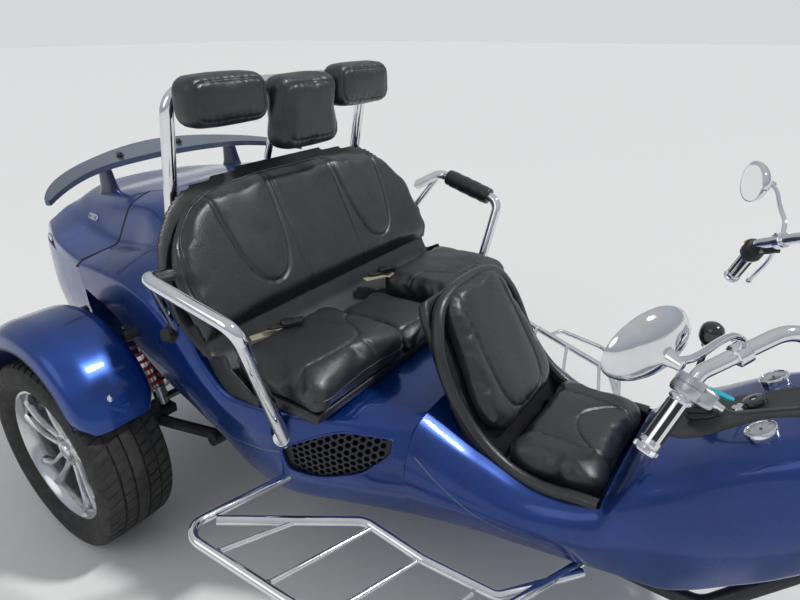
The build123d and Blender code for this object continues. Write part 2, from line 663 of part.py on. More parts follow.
# Dash panel on the cowl's top, with the gear lever's and the lock's places in it
DASH_HALF_REAR = 52.0
DASH_HALF_FRONT = 78.0
dash_rise = Vector(655 - 489, 0, 772 - 660)
dash_plane = Plane(origin=(489, 0, 660 + SEAT_GAP), x_dir=dash_rise,
                   z_dir=Vector(-dash_rise.Z, 0, dash_rise.X))
dash_length = dash_rise.length
with BuildPart() as dash_panel:
    with BuildSketch(dash_plane):
        with BuildLine():
            Polyline((4, -DASH_HALF_REAR), (dash_length - 4, -DASH_HALF_FRONT),
                     (dash_length - 4, DASH_HALF_FRONT), (4, DASH_HALF_REAR), close=True)
        make_face()
    extrude(amount=5)
save(dash_panel.part, "dash_panel")

GAUGE_R = 34.0
GAUGE_Y = 118.0
with BuildPart() as gauges:
    with BuildSketch(dash_plane):
        with Locations((dash_length - 40, GAUGE_Y), (dash_length - 40, -GAUGE_Y)):
            Circle(GAUGE_R)
    extrude(amount=16)
save(gauges.part, "gauges")

with BuildPart() as gear_lever:
    with BuildSketch(dash_plane.offset(5 + SEAT_GAP)):
        with Locations((22, 0)):
            RectangleRounded(70, 84, 14)
    with BuildSketch(dash_plane.offset(70)):
        with Locations((14, 0)):
            Circle(14)
    loft()
    add(rod_between((450, 0, 715), (470, 0, 880), 7))
    with Locations((472, 0, 892)):
        Sphere(26)
save(gear_lever.part, "gear_lever")

# Frame under the body: rails with cross tubes and tie-down lugs, the neck that carries the
# steering head, and the tower that holds the dampers' heads
NECK_FOOT_X = HEAD_X - 418.0
RAIL_REAR_X = -1120.0
with BuildPart() as rails:
    for side in (-1, 1):
        add(rod_between((RAIL_REAR_X, side * RAIL_Y, RAIL_Z), (NECK_FOOT_X, side * RAIL_Y, RAIL_Z), RAIL_R))
    for cross_x in (-990, -560, 60, 500):
        add(rod_between((cross_x, -RAIL_Y, RAIL_Z), (cross_x, RAIL_Y, RAIL_Z), 16))
    for side in (-1, 1):
        with BuildSketch(Plane.XZ.offset(-side * RAIL_Y - LUG_THICK / 2)):
            with Locations((LUG_X, RAIL_Z - LUG_DROP / 2)):
                Rectangle(2 * LUG_R, LUG_DROP)
            with Locations((LUG_X, RAIL_Z - LUG_DROP)):
                Circle(LUG_R)
                Circle(LUG_BORE_R, mode=Mode.SUBTRACT)
        extrude(amount=LUG_THICK)
with BuildPart() as neck:
    for side in (-1, 1):
        add(tube_through([(NECK_FOOT_X + SEAT_GAP, side * RAIL_Y, RAIL_Z),
                          (NECK_FOOT_X + 60, side * RAIL_Y, RAIL_Z),
                          (HEAD_X - 53, side * 45, 545), (HEAD_X - 50, side * 32, 800),
                          (HEAD_X, side * 12, HEAD_Z)],
                         [70, 90, 40], RAIL_R))
    with BuildSketch(steer_plane.offset(-HEAD_LENGTH / 2)):
        Circle(HEAD_TUBE_R)
    extrude(amount=HEAD_LENGTH)
    with BuildSketch(steer_plane.offset(-HEAD_LENGTH / 2 - 1)):
        Circle(STEM_R + RUNNING_GAP)
    extrude(amount=HEAD_LENGTH + 2, mode=Mode.SUBTRACT)
TOWER_X = -1195.0
TOWER_Z = 676.0
TOWER_TUBE_R = 16.0
with BuildPart() as tower:
    add(tube_through([(-1040, -RAIL_Y - RAIL_R - SEAT_GAP, RAIL_Z), (-1100, -290, 310),
                      (TOWER_X, -320, TOWER_Z), (TOWER_X, 320, TOWER_Z), (-1100, 290, 310),
                      (-1040, RAIL_Y + RAIL_R + SEAT_GAP, RAIL_Z)], [40, 60, 60, 40], TOWER_TUBE_R))
    for side in (-1, 1):
        add(rod_between((TOWER_X, side * 240, TOWER_Z), (TOWER_X, side * 434.9, TOWER_Z), 12))
    for side in (-1, 1):
        add(rod_between((RAIL_REAR_X - 10, side * RAIL_Y, RAIL_Z), (NECK_FOOT_X, side * RAIL_Y, RAIL_Z),
                        RAIL_R + SEAT_GAP), mode=Mode.SUBTRACT)
save(Compound(children=[rails.part, neck.part, tower.part]), "main_frame")

# Rear axle: engine, final drive, trailing arms with knuckles, dampers
with BuildPart() as engine:
    with BuildSketch(Plane.XY.offset(RAIL_Z + RAIL_R + SEAT_GAP)):
        with Locations((-858, 0)):
            RectangleRounded(304, 366, 30)
    extrude(amount=300)
save(engine.part, "engine")
with BuildPart() as final_drive:
    with BuildSketch(Plane.XZ.offset(-130)):
        with Locations((REAR_AXLE_X, REAR_TYRE_R + 20)):
            Circle(92)
        with Locations((-1087, REAR_TYRE_R + 20)):
            Rectangle(154, 116)
    extrude(amount=260)
    with BuildSketch(Plane.XZ.offset(-135)):
        with Locations((REAR_AXLE_X, REAR_TYRE_R)):
            Circle(HALF_SHAFT_R + RUNNING_GAP)
    extrude(amount=270, mode=Mode.SUBTRACT)
save(final_drive.part, "final_drive")

ARM_PIVOT_X = -820.0
DAMPER_Y = 455.0
DAMPER_FOOT = (-1085.0, -DAMPER_Y, 357.6)
DAMPER_HEAD = (-1200.0, -DAMPER_Y + 5, 690.0)
with BuildPart() as trailing_arm:
    with BuildSketch(Plane.XZ.offset(KNUCKLE_IN_Y)):
        with Locations((REAR_AXLE_X, REAR_TYRE_R)):
            Circle(KNUCKLE_R)
    extrude(amount=KNUCKLE_OUT_Y - KNUCKLE_IN_Y)
    add(rod_between((REAR_AXLE_X + 20, -KNUCKLE_IN_Y - 12, REAR_TYRE_R + 2),
                    (ARM_PIVOT_X, -440, REAR_TYRE_R + 4), 19))
    # Seat for the damper's foot
    with BuildSketch(Plane.XY.offset(REAR_TYRE_R + 6)):
        with Locations((-1088, -468)):
            RectangleRounded(76, 84, 12)
    extrude(amount=24)
    add(rod_between((ARM_PIVOT_X, -RAIL_Y - RAIL_R - 1, RAIL_Z + 30),
                    (ARM_PIVOT_X, -470, 326), 22))
    with BuildSketch(Plane.XZ.offset(300)):
        with Locations((REAR_AXLE_X, REAR_TYRE_R)):
            Circle(HALF_SHAFT_R + RUNNING_GAP)
    extrude(amount=400, mode=Mode.SUBTRACT)
save(both_sides(trailing_arm.part), "trailing_arms")

damper_plane = Plane(origin=DAMPER_FOOT, z_dir=Vector(*DAMPER_HEAD) - Vector(*DAMPER_FOOT))
SPRING_START = 66.0
SPRING_LENGTH = 225.0
SPRING_R = 38.0
with BuildPart() as damper:
    add(rod_between(DAMPER_FOOT, DAMPER_HEAD, 15))
    with BuildSketch(damper_plane.offset(30)):
        Circle(24)
    extrude(amount=110)
    # Spring seats
    for seat in (SPRING_START - 6 - SEAT_GAP, SPRING_START + SPRING_LENGTH + SEAT_GAP):
        with BuildSketch(damper_plane.offset(seat)):
            Circle(SPRING_R)
        extrude(amount=6)
save(both_sides(damper.part), "dampers")

with BuildPart() as coil:
    with BuildSketch(damper_plane.offset(SPRING_START)):
        Circle(SPRING_R)
        Circle(26, mode=Mode.SUBTRACT)
    extrude(amount=SPRING_LENGTH)
save(both_sides(coil.part), "coil_springs")

# Rear fenders: a tight arc in front and a wider one behind, tangent over the crown
FENDER_TOP_X = -1153.0
FENDER_TOP_Z = 770.0
FENDER_FRONT_R = 301.0
FENDER_REAR_R = 420.0
FENDER_FRONT_SPAN = 80.0
FENDER_REAR_SPAN = 78.0
FENDER_LIP_DEPTH = 66.0


def fender_profile(crown, inset):
    """Open cross-section of the fender: inner wall, crown and rounded outer lip."""
    lip = crown - FENDER_LIP_DEPTH
    inner_y = FENDER_IN_Y + inset
    outer_y = FENDER_OUT_Y - inset
    return [(inner_y, lip), (inner_y + 3, crown - inset - 30), (inner_y + 32, crown - inset),
            (outer_y - 76, crown - inset), (outer_y - 16, crown - inset - 24), (outer_y, lip)]


with BuildPart() as fender:
    for radius, turn, span in [(FENDER_FRONT_R, 1, FENDER_FRONT_SPAN),
                               (FENDER_REAR_R, -1, FENDER_REAR_SPAN)]:
        centre = (FENDER_TOP_X, 0, FENDER_TOP_Z - radius)
        upright = Plane(origin=centre, x_dir=(0, -1, 0), z_dir=(-1, 0, 0))
        with BuildSketch(upright):
            with BuildLine():
                Polyline(*fender_profile(radius, 0),
                         *reversed(fender_profile(radius, FENDER_WALL)), close=True)
            make_face()
        revolve(axis=Axis(centre, (0, turn, 0)), revolution_arc=span)
    # Brackets from the fender's inner wall, cut to the sides of the body and the tub
    add(rod_between((-1000, -500, 700), (-1000, -FENDER_IN_Y - 3, 700), 14))
    add(rod_between((-1300, -500, 690), (-1300, -FENDER_IN_Y - 3, 690), 14))
    add(flank_clearance, mode=Mode.SUBTRACT)
    add(outer_tub.moved(Location((0, -SEAT_GAP, 0))), mode=Mode.SUBTRACT)
save(both_sides(fender.part), "rear_fenders")

# Rear wheels
REAR_TYRE_SHAPE = [(0.78, 0.0), (1.0, 0.45), (0.82, 1.0)]
FRONT_TYRE_SHAPE = [(0.78, 0.0), (1.0, 0.62), (0.0, 1.0)]


def tyre_ring(outer_r, rim_r, width, shape):
    """A tyre turned about the Y axis. Its shape gives shares of the half width and of the height."""
    edge = [(share * width / 2, rim_r + rise * (outer_r - rim_r)) for share, rise in shape]
    with BuildPart() as tyre:
        with BuildSketch(Plane.YZ):
            with BuildLine():
                Polyline(*edge, *[(-y, z) for y, z in reversed(edge) if y > 0], close=True)
            make_face()
        revolve(axis=Axis.Y)
    return tyre.part


rear_wheel_place = Location((REAR_AXLE_X, -REAR_WHEEL_Y, REAR_TYRE_R))
rear_tyre = tyre_ring(REAR_TYRE_R, REAR_RIM_R, REAR_TYRE_WIDTH, REAR_TYRE_SHAPE).moved(rear_wheel_place)
save(rear_tyre, "rear_tyre_right")
save(mirror(rear_tyre, about=Plane.XZ), "rear_tyre_left")

with BuildPart() as rear_rim:
    half = REAR_TYRE_WIDTH / 2 * 0.78
    with BuildSketch(Plane.YZ):
        with BuildLine():
            Polyline((-half, REAR_RIM_R - 0.1), (-half, REAR_RIM_R - 14), (-half + 14, REAR_RIM_R - 22),
                     (half - 14, REAR_RIM_R - 22), (half, REAR_RIM_R - 14),
                     (half, REAR_RIM_R - 0.1), close=True)
        make_face()
        with BuildLine():
            Polyline((-65, 0), (-65, 40), (-50, REAR_HUB_R), (-20, REAR_HUB_R), (-20, 60),
                     (128, 60), (128, 0), close=True)
        make_face()
    revolve(axis=Axis.Y)
    # Paired spokes
    for pair in range(SPOKE_PAIRS):
        for lean in (-1, 1):
            angle = 360 / SPOKE_PAIRS * pair + lean * 11
            out = Vector(0, 0, 1).rotate(Axis.Y, angle)
            with BuildSketch(Plane(origin=Vector(0, -38, 0) + out * 50, x_dir=(0, 1, 0), z_dir=out)):
                RectangleRounded(22, 24, 6)
            extrude(amount=REAR_RIM_R - 22 + 4 - 50)
    # Brake disc, drive flange and half shaft
    with BuildSketch(Plane.XZ.offset(-88)):
        Circle(DISC_R)
    extrude(amount=-DISC_THICK)
    with BuildSketch(Plane.XZ.offset(-100)):
        Circle(HALF_SHAFT_R)
    extrude(amount=-(REAR_WHEEL_Y - 125 - 100))
save(rear_rim.part.moved(rear_wheel_place), "rear_rim_right")
save(mirror(rear_rim.part.moved(rear_wheel_place), about=Plane.XZ), "rear_rim_left")

# Front wheel
front_wheel_place = Location((FRONT_AXLE_X, 0, FRONT_TYRE_R))
save(tyre_ring(FRONT_TYRE_R, FRONT_RIM_R, FRONT_TYRE_WIDTH, FRONT_TYRE_SHAPE).moved(front_wheel_place),
     "front_tyre")
with BuildPart() as front_rim:
    half = FRONT_TYRE_WIDTH / 2 * 0.78
    with BuildSketch(Plane.YZ):
        with BuildLine():
            Polyline((-half, FRONT_RIM_R - 0.1), (-half, FRONT_RIM_R - 14),
                     (-half + 12, FRONT_RIM_R - 22), (half - 12, FRONT_RIM_R - 22),
                     (half, FRONT_RIM_R - 14), (half, FRONT_RIM_R - 0.1), close=True)
        make_face()
        with Locations((0, FRONT_HUB_R / 2)):
            Rectangle(130, FRONT_HUB_R)
    revolve(axis=Axis.Y)
    for pair in range(SPOKE_PAIRS):
        for lean in (-1, 1):
            out = Vector(0, 0, 1).rotate(Axis.Y, 360 / SPOKE_PAIRS * pair + lean * 9)
            with BuildSketch(Plane(origin=out * 20, x_dir=(0, 1, 0), z_dir=out)):
                RectangleRounded(22, 18, 5)
            extrude(amount=FRONT_RIM_R - 22 + 4 - 20)
    for side in (-1, 1):
        with BuildSketch(Plane.XZ.offset(side * 57 + 3)):
            Circle(130)
        extrude(amount=-6)
    with BuildSketch(Plane.XZ.offset(-80)):
        Circle(FRONT_AXLE_R + RUNNING_GAP)
    extrude(amount=160, mode=Mode.SUBTRACT)
save(front_rim.part.moved(front_wheel_place), "front_rim")

# Fork: stem, two yokes, tubes, sliders and axle in the raked steering frame
axle_drop = -((FRONT_AXLE_X - HEAD_X) * math.sin(rake)
              + (HEAD_Z - FRONT_TYRE_R) * math.cos(rake))
yoke_low = -HEAD_LENGTH / 2 - YOKE_GAP - YOKE_THICK
yoke_high = HEAD_LENGTH / 2 + YOKE_GAP
with BuildPart() as fork:
    with BuildSketch(steer_plane.offset(yoke_low)):
        Circle(STEM_R)
    extrude(amount=yoke_high - yoke_low + YOKE_THICK)
    for level in (yoke_low, yoke_high):
        with BuildSketch(steer_plane.offset(level)):
            with BuildLine():
                Polyline((-46, -60), (-46, 60), (FORK_OFFSET - 30, FORK_Y + 32),
                         (FORK_OFFSET + 34, FORK_Y + 32), (FORK_OFFSET + 40, 0),
                         (FORK_OFFSET + 34, -FORK_Y - 32), (FORK_OFFSET - 30, -FORK_Y - 32),
                         close=True)
            make_face()
        extrude(amount=YOKE_THICK)
    with BuildSketch(steer_plane.offset(yoke_high + YOKE_THICK + 10)):
        with Locations((FORK_OFFSET, FORK_Y), (FORK_OFFSET, -FORK_Y)):
            Circle(FORK_TUBE_R)
    extrude(amount=-(yoke_high + YOKE_THICK + 10 - SLIDER_TOP + 20))
    with BuildSketch(steer_plane.offset(SLIDER_TOP)):
        with Locations((FORK_OFFSET, FORK_Y), (FORK_OFFSET, -FORK_Y)):
            Circle(FORK_SLIDER_R)
    extrude(amount=-(SLIDER_TOP - axle_drop + 30))
    # Ears that hold the headlamp
    ear = steer_plane.from_local_coords(Vector(FORK_OFFSET, 0, 0))
    for side in (-1, 1):
        add(rod_between((ear.X - 5, side * FORK_Y, LAMP_Z),
                        (LAMP_REAR_X + 42, side * FORK_Y, LAMP_Z), 9))
        add(rod_between((LAMP_REAR_X + 38, side * (FORK_Y + 6), LAMP_Z),
                        (LAMP_REAR_X + 38, side * (LAMP_R + SEAT_GAP), LAMP_Z), 9))
    with BuildSketch(Plane.XZ.offset(-FORK_Y - 20)):
        with Locations((FRONT_AXLE_X, FRONT_TYRE_R)):
            Circle(FRONT_AXLE_R)
    extrude(amount=2 * FORK_Y + 40)
save(fork.part, "fork")

# Front fender between the fork legs, with stubs that meet the sliders
STUB_DROP = axle_drop + 325
with BuildPart() as front_fender:
    rear_reach = Vector(-math.cos(math.radians(12)), 0, math.sin(math.radians(12)))
    fender_face = Plane(origin=(FRONT_AXLE_X, 0, FRONT_TYRE_R), x_dir=(0, 1, 0),
                        z_dir=Vector(0, 1, 0).cross(rear_reach))
    with BuildSketch(fender_face):
        with BuildLine():
            Polyline((-77, 314), (-70, 336), (-40, 346), (40, 346), (70, 336), (77, 314),
                     (73, 314), (67, 333), (39, 342), (-39, 342), (-67, 333), (-73, 314),
                     close=True)
        make_face()
    revolve(axis=Axis((FRONT_AXLE_X, 0, FRONT_TYRE_R), (0, 1, 0)), revolution_arc=128)
    stub = steer_plane.from_local_coords(Vector(FORK_OFFSET, 0, STUB_DROP))
    for side in (-1, 1):
        add(rod_between((stub.X, side * 62, stub.Z),
                        (stub.X, side * (FORK_Y - FORK_SLIDER_R - SEAT_GAP), stub.Z), 9))
save(front_fender.part, "front_fender")

# Handlebar with its clamps
grip_root = Vector(*from_head(458, -400, 1000))
grip_way = (Vector(*from_head(501, -470, 885)) - grip_root).normalized()
grip_start = grip_root + grip_way * 50
BAR_ROUTE = [tuple(grip_start), tuple(grip_root), from_head(350, -300, 1070), from_head(126, -100, 950),
             from_head(126, 100, 950), from_head(350, 300, 1070), from_head(458, 400, 1000),
             (grip_start.X, -grip_start.Y, grip_start.Z)]
BAR_BENDS = [40, 70, 60, 60, 70, 40]
with BuildPart() as handlebar:
    add(tube_through(BAR_ROUTE, BAR_BENDS, BAR_TUBE_R))
    for side in (-1, 1):
        add(rod_between(from_head(126, side * 60, 950), from_head(58, side * 60, 1003), 16))
    with BuildSketch(steer_plane.offset(yoke_high + YOKE_THICK + SEAT_GAP)):
        with Locations((-15, 60), (-15, -60)):
            Circle(24)
    extrude(amount=40)
    with BuildSketch(steer_plane.offset(-100)):
        Rectangle(400, 400)
    extrude(amount=100 + yoke_high + YOKE_THICK + SEAT_GAP, mode=Mode.SUBTRACT)
save(handlebar.part, "handlebar")

GRIP_LENGTH = 105.0
GRIP_R = 18.0
with BuildPart() as grip:
    add(rod_between(grip_start, grip_start + grip_way * GRIP_LENGTH, GRIP_R))
save(both_sides(grip.part), "grips")

# Throttle housing on the right, switch block with reservoir and lever on the left
THROTTLE_R = 27.0
with BuildPart() as throttle:
    add(rod_between(grip_start - grip_way * 34, grip_start - grip_way * 2, THROTTLE_R))
    add(rod_between(grip_start - grip_way * 40, grip_start + grip_way * 4,
                    BAR_TUBE_R + SEAT_GAP), mode=Mode.SUBTRACT)
left_start = Vector(grip_start.X, -grip_start.Y, grip_start.Z)
left_way = Vector(grip_way.X, -grip_way.Y, grip_way.Z)
with BuildPart() as switches:
    add(rod_between(left_start - left_way * 36, left_start - left_way * 2, 28))
    add(rod_between(left_start - left_way * 20 + Vector(20, 0, 0),
                    left_start - left_way * 20 + Vector(58, 8, 14), 17))
    add(rod_between(left_start - left_way * 20 + Vector(50, 8, 10),
                    left_start - left_way * 20 + Vector(50, 8, 10) + left_way * 150, 6))
    add(rod_between(left_start - left_way * 50, left_start + left_way * 4,
                    BAR_TUBE_R + SEAT_GAP), mode=Mode.SUBTRACT)
save(Compound(children=[throttle.part, switches.part]), "controls")

# Throttle cable: square off the housing, in a slack run to the upper yoke's rear edge
CABLE_R = 4.0
cable_out = (Vector(1, 0, 0) - grip_way * grip_way.X).normalized()
cable_start = grip_start - grip_way * 18 + cable_out * (THROTTLE_R + SEAT_GAP)
cable_end = steer_plane.from_local_coords(Vector(-18.25, -102.2, yoke_high + YOKE_THICK / 2))
cable_in = steer_plane.from_local_coords(Vector(-59.8, -129.9, yoke_high + YOKE_THICK / 2))
with BuildPart() as throttle_cable:
    add(tube_through([tuple(cable_start), tuple(cable_start + cable_out * 45), from_head(320, -300, 922),
                      from_head(190, -180, 925), tuple(cable_in), tuple(cable_end)],
                     [25, 80, 80, 60], CABLE_R))
save(throttle_cable.part, "throttle_cable")

# Mirrors: oval shell on a bent stem from a clamp on the bar
MIRROR_CENTRE = Vector(*from_head(521, -590, 1125))
MIRROR_LONG = 87.0
MIRROR_SHORT = 58.0
mirror_plane = Plane(origin=MIRROR_CENTRE, x_dir=(-0.42, -0.907, 0), z_dir=(-0.90, 0.42, 0.12))
with BuildPart() as mirror_arm:
    add(tube_through([from_head(409, -356, 1034), from_head(411, -388, 1080),
                      tuple(MIRROR_CENTRE - mirror_plane.z_dir * 22)], [12], 6))
    with BuildSketch(mirror_plane.offset(-6)):
        Ellipse(MIRROR_LONG, MIRROR_SHORT)
    extrude(amount=6)
    with BuildSketch(mirror_plane.offset(-6)):
        Ellipse(MIRROR_LONG, MIRROR_SHORT)
    with BuildSketch(mirror_plane.offset(-22)):
        Ellipse(MIRROR_LONG * 0.86, MIRROR_SHORT * 0.84)
    with BuildSketch(mirror_plane.offset(-36)):
        Ellipse(MIRROR_LONG * 0.46, MIRROR_SHORT * 0.44)
    loft(ruled=True)
    add(rod_between(from_head(400, -346, 1037.5), from_head(417, -362, 1026.5), 22))
    add(tube_through(BAR_ROUTE[:4], BAR_BENDS[:2], BAR_TUBE_R + SEAT_GAP), mode=Mode.SUBTRACT)
save(both_sides(mirror_arm.part), "mirrors")
with BuildPart() as mirror_glass:
    with BuildSketch(mirror_plane.offset(SEAT_GAP)):
        Ellipse(MIRROR_LONG - 5, MIRROR_SHORT - 5)
    extrude(amount=2)
save(both_sides(mirror_glass.part), "mirror_glasses")

# Headlamp
with BuildPart() as headlamp:
    with BuildSketch(Plane.XZ):
        with BuildLine():
            Polyline((LAMP_REAR_X, LAMP_Z), (LAMP_REAR_X, LAMP_Z + 50),
                     (LAMP_REAR_X + 16, LAMP_Z + LAMP_R), (LAMP_REAR_X + 89, LAMP_Z + LAMP_R),
                     (LAMP_REAR_X + 89, LAMP_Z + LAMP_R - 6),
                     (LAMP_REAR_X + 64, LAMP_Z + LAMP_R - 6), (LAMP_REAR_X + 44, LAMP_Z),
                     close=True)
        make_face()
    revolve(axis=Axis((0, 0, LAMP_Z), (1, 0, 0)))
save(headlamp.part, "headlamp")
with BuildPart() as lens:
    with BuildSketch(Plane.YZ.offset(LAMP_REAR_X + 80)):
        with Locations((0, LAMP_Z)):
            Circle(LAMP_R - 6 - SEAT_GAP)
    extrude(amount=16)
    fillet(lens.edges().sort_by(Axis.X)[-1], 10)
save(lens.part, "headlamp_lens")

# Tail lamps, plate bracket and exhaust
PLATE_HOLE_R = 3.5
PLATE_HOLE_PITCH = 150.0
with BuildPart() as tail_lamps:
    with BuildSketch(Plane.YZ.offset(TAIL_X - SEAT_GAP)):
        with Locations((300, 760), (190, 760), (-190, 760), (-300, 760)):
            Circle(46)
    extrude(amount=SEAT_GAP - TAIL_LAMP_DEPTH)
save(tail_lamps.part, "tail_lamps")
with BuildPart() as plate_bracket:
    with BuildSketch(Plane.YZ.offset(TAIL_X - SEAT_GAP)):
        with Locations((0, 650)):
            RectangleRounded(220, 130, 10)
        with Locations((-PLATE_HOLE_PITCH / 2, 650), (PLATE_HOLE_PITCH / 2, 650)):
            Circle(PLATE_HOLE_R, mode=Mode.SUBTRACT)
    extrude(amount=-6)
save(plate_bracket.part, "plate_bracket")

EXHAUST_Z = 384.0
with BuildPart() as exhaust:
    with BuildSketch(Plane.XZ.offset(-260)):
        with Locations((-1480, EXHAUST_Z)):
            Circle(60)
    extrude(amount=520)
    for side in (-1, 1):
        add(rod_between((-1500, side * 180, EXHAUST_Z), (-1690, side * 180, EXHAUST_Z - 8), 26))
        add(rod_between((-1500, side * 200, 430), (-1500, side * 200, 469), 8))
    add(rod_between((-1450, 160, EXHAUST_Z), (-1010 - SEAT_GAP, 160, EXHAUST_Z + 6), 24))
save(exhaust.part, "exhaust")

# Ignition lock with its key, and the round filler cap
with BuildPart() as dash_fittings:
    with BuildSketch(dash_plane.offset(5 + SEAT_GAP)):
        with Locations((96, 0)):
            Circle(13)
        with Locations((150, -30)):
            Circle(20)
    extrude(amount=12)
save(dash_fittings.part, "dash_fittings")

# Belt buckles on the bench
with BuildPart() as buckles:
    with BuildSketch(Plane.XY.offset(CUSHION_TOP_Z + SEAT_GAP)):
        with Locations(Location((-525, -345), 50), Location((-535, 185), 65)):
            RectangleRounded(95, 34, 8)
    extrude(amount=18)
save(buckles.part, "belt_buckles")
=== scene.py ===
import math

import bmesh
import bpy
import numpy as np
from mathutils import Euler, Matrix, Vector


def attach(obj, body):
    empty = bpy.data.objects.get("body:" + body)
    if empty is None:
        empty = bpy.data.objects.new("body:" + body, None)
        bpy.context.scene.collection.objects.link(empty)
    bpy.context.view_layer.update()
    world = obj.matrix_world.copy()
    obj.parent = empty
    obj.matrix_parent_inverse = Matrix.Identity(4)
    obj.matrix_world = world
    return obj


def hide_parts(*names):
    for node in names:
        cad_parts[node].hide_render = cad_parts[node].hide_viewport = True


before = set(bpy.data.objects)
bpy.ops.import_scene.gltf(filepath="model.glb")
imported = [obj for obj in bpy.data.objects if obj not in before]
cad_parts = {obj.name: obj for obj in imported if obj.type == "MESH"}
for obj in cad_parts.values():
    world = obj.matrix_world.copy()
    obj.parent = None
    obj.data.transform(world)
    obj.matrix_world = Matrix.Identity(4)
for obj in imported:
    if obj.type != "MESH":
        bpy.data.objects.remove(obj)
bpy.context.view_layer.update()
MM = 0.001

# Named measures in millimetres: the steering head's x, the centres of the left rear wheel and the front
# wheel, the lid's rim, the seam between deck and lid, the fenders' arcs, and places along and across the dash
HEAD_X = 957.9
REAR_AXLE = (-1164, 710, 322)
FRONT_AXLE = (1436, 0, 310)
LID_RIM_Z = 845.3
SEAM_X, SEAM_Z, SEAM_RUN, SEAM_RISE = -1280, 845, 103, 212
FENDER_FRONT_R, FENDER_REAR_R = 301, 420
DASH_FROM, DASH_TO = -82, 330
GAUGE_ALONG, GAUGE_ACROSS = 160.25, 126
# The sign of y on each side, and the side's name
SIDES = ((-1, "right"), (1, "left"))

# Camera, world and floor
scene = bpy.context.scene
scene.view_settings.view_transform = "Standard"

cam_data = bpy.data.cameras.new("camera")
cam_data.sensor_width = 36.0
cam_data.lens = 26.93
camera = bpy.data.objects.new("camera", cam_data)
scene.collection.objects.link(camera)
tilt = Euler((math.radians(65.43), 0, math.radians(34.91))).to_matrix()
camera.rotation_euler = (tilt @ Matrix.Rotation(math.radians(-0.30), 3, "Z")).to_euler()
camera.location = (0.582, -1.412, 1.540)
scene.camera = camera


def add(tree, kind, inputs=None, **props):
    """A shader node with its inputs set or linked."""
    made = tree.nodes.new(kind)
    for key, value in props.items():
        setattr(made, key, value)
    for key, value in (inputs or {}).items():
        socket = made.inputs[key]
        if isinstance(value, bpy.types.NodeSocket):
            tree.links.new(value, socket)
        else:
            socket.default_value = value
    return made


world = bpy.data.worlds.new("studio")
scene.world = world
world.use_nodes = True
tree = world.node_tree
tree.nodes.clear()
direction = add(tree, "ShaderNodeTexCoord").outputs["Generated"]
height = add(tree, "ShaderNodeSeparateXYZ", {0: direction}).outputs["Z"]
ramp = add(tree, "ShaderNodeValToRGB", {0: add(tree, "ShaderNodeMapRange",
                                               {0: height, 1: -0.3, 2: 1.0}).outputs[0]})
for place, shade in [(0.0, (0.50, 0.47, 0.44, 1)), (0.22, (0.46, 0.44, 0.42, 1)),
                     (0.27, (0.62, 0.66, 0.72, 1)), (0.55, (0.80, 0.86, 0.95, 1)),
                     (1.0, (1.0, 1.0, 1.0, 1))]:
    if place in (0.0, 1.0):
        stop = ramp.color_ramp.elements[int(place)]
    else:
        stop = ramp.color_ramp.elements.new(place)
    stop.color = shade
light_path = add(tree, "ShaderNodeLightPath")
soft = add(tree, "ShaderNodeBackground", {"Color": ramp.outputs[0], "Strength": 0.56})
seen = add(tree, "ShaderNodeBackground", {"Color": (0.672, 0.684, 0.692, 1), "Strength": 1.0})
both = add(tree, "ShaderNodeMixShader", {0: light_path.outputs["Is Camera Ray"], 1: soft.outputs[0],
                                         2: seen.outputs[0]})
add(tree, "ShaderNodeOutputWorld", {"Surface": both.outputs[0]})


def lamp(name, kind, place, aim, energy, size):
    data = bpy.data.lights.new(name, kind)
    data.energy = energy
    if kind == "AREA":
        data.shape = "DISK"
        data.size = size
    else:
        data.angle = size
    obj = bpy.data.objects.new(name, data)
    obj.location = place
    obj.rotation_euler = (Vector(aim) - Vector(place)).to_track_quat("-Z", "Y").to_euler()
    scene.collection.objects.link(obj)


lamp("key_sun", "SUN", (2.2, 1.6, 4.2), (0, 0, 0.4), 1.9, 0.09)
lamp("fill", "AREA", (-1.0, -4.5, 4.0), (0, 0, 0.6), 26.0, 3.5)

# Materials
MATERIALS = {}


def material(name, colour, rough, metallic=0.0, **sockets):
    """A principled material. Extra sockets are given by name with _ for a space."""
    mat = bpy.data.materials.new(name)
    mat.use_nodes = True
    shader = mat.node_tree.nodes["Principled BSDF"]
    shader.inputs["Base Color"].default_value = (*colour, 1)
    shader.inputs["Roughness"].default_value = rough
    shader.inputs["Metallic"].default_value = metallic
    for key, value in sockets.items():
        shader.inputs[key.replace("_", " ")].default_value = value
    MATERIALS[name] = mat
    return mat


def coords(mat, scale):
    """Object coordinates, scaled."""
    tree = mat.node_tree
    place = add(tree, "ShaderNodeTexCoord").outputs["Object"]
    return add(tree, "ShaderNodeMapping", {"Vector": place, "Scale": (scale,) * 3}).outputs[0]


def noise(mat, scale, detail=4.0, rough=0.55):
    return add(mat.node_tree, "ShaderNodeTexNoise",
               {"Vector": coords(mat, 1.0), "Scale": scale, "Detail": detail,
                "Roughness": rough}).outputs["Fac"]


def blend_colours(mat, share, first, second, mode="MIX"):
    made = add(mat.node_tree, "ShaderNodeMix", data_type="RGBA", blend_type=mode)
    for socket, value in ((made.inputs[0], share), (made.inputs[6], first), (made.inputs[7], second)):
        if isinstance(value, bpy.types.NodeSocket):
            mat.node_tree.links.new(value, socket)
        else:
            socket.default_value = value if not isinstance(value, tuple) else (*value[:3], 1)
    return made.outputs[2]


def spread(mat, value, low, high, out_low, out_high):
    """Maps a value's range to another."""
    return add(mat.node_tree, "ShaderNodeMapRange",
               {0: value, 1: low, 2: high, 3: out_low, 4: out_high}).outputs[0]


def maths(mat, operation, first, second=0.5):
    return add(mat.node_tree, "ShaderNodeMath", {0: first, 1: second}, operation=operation).outputs[0]


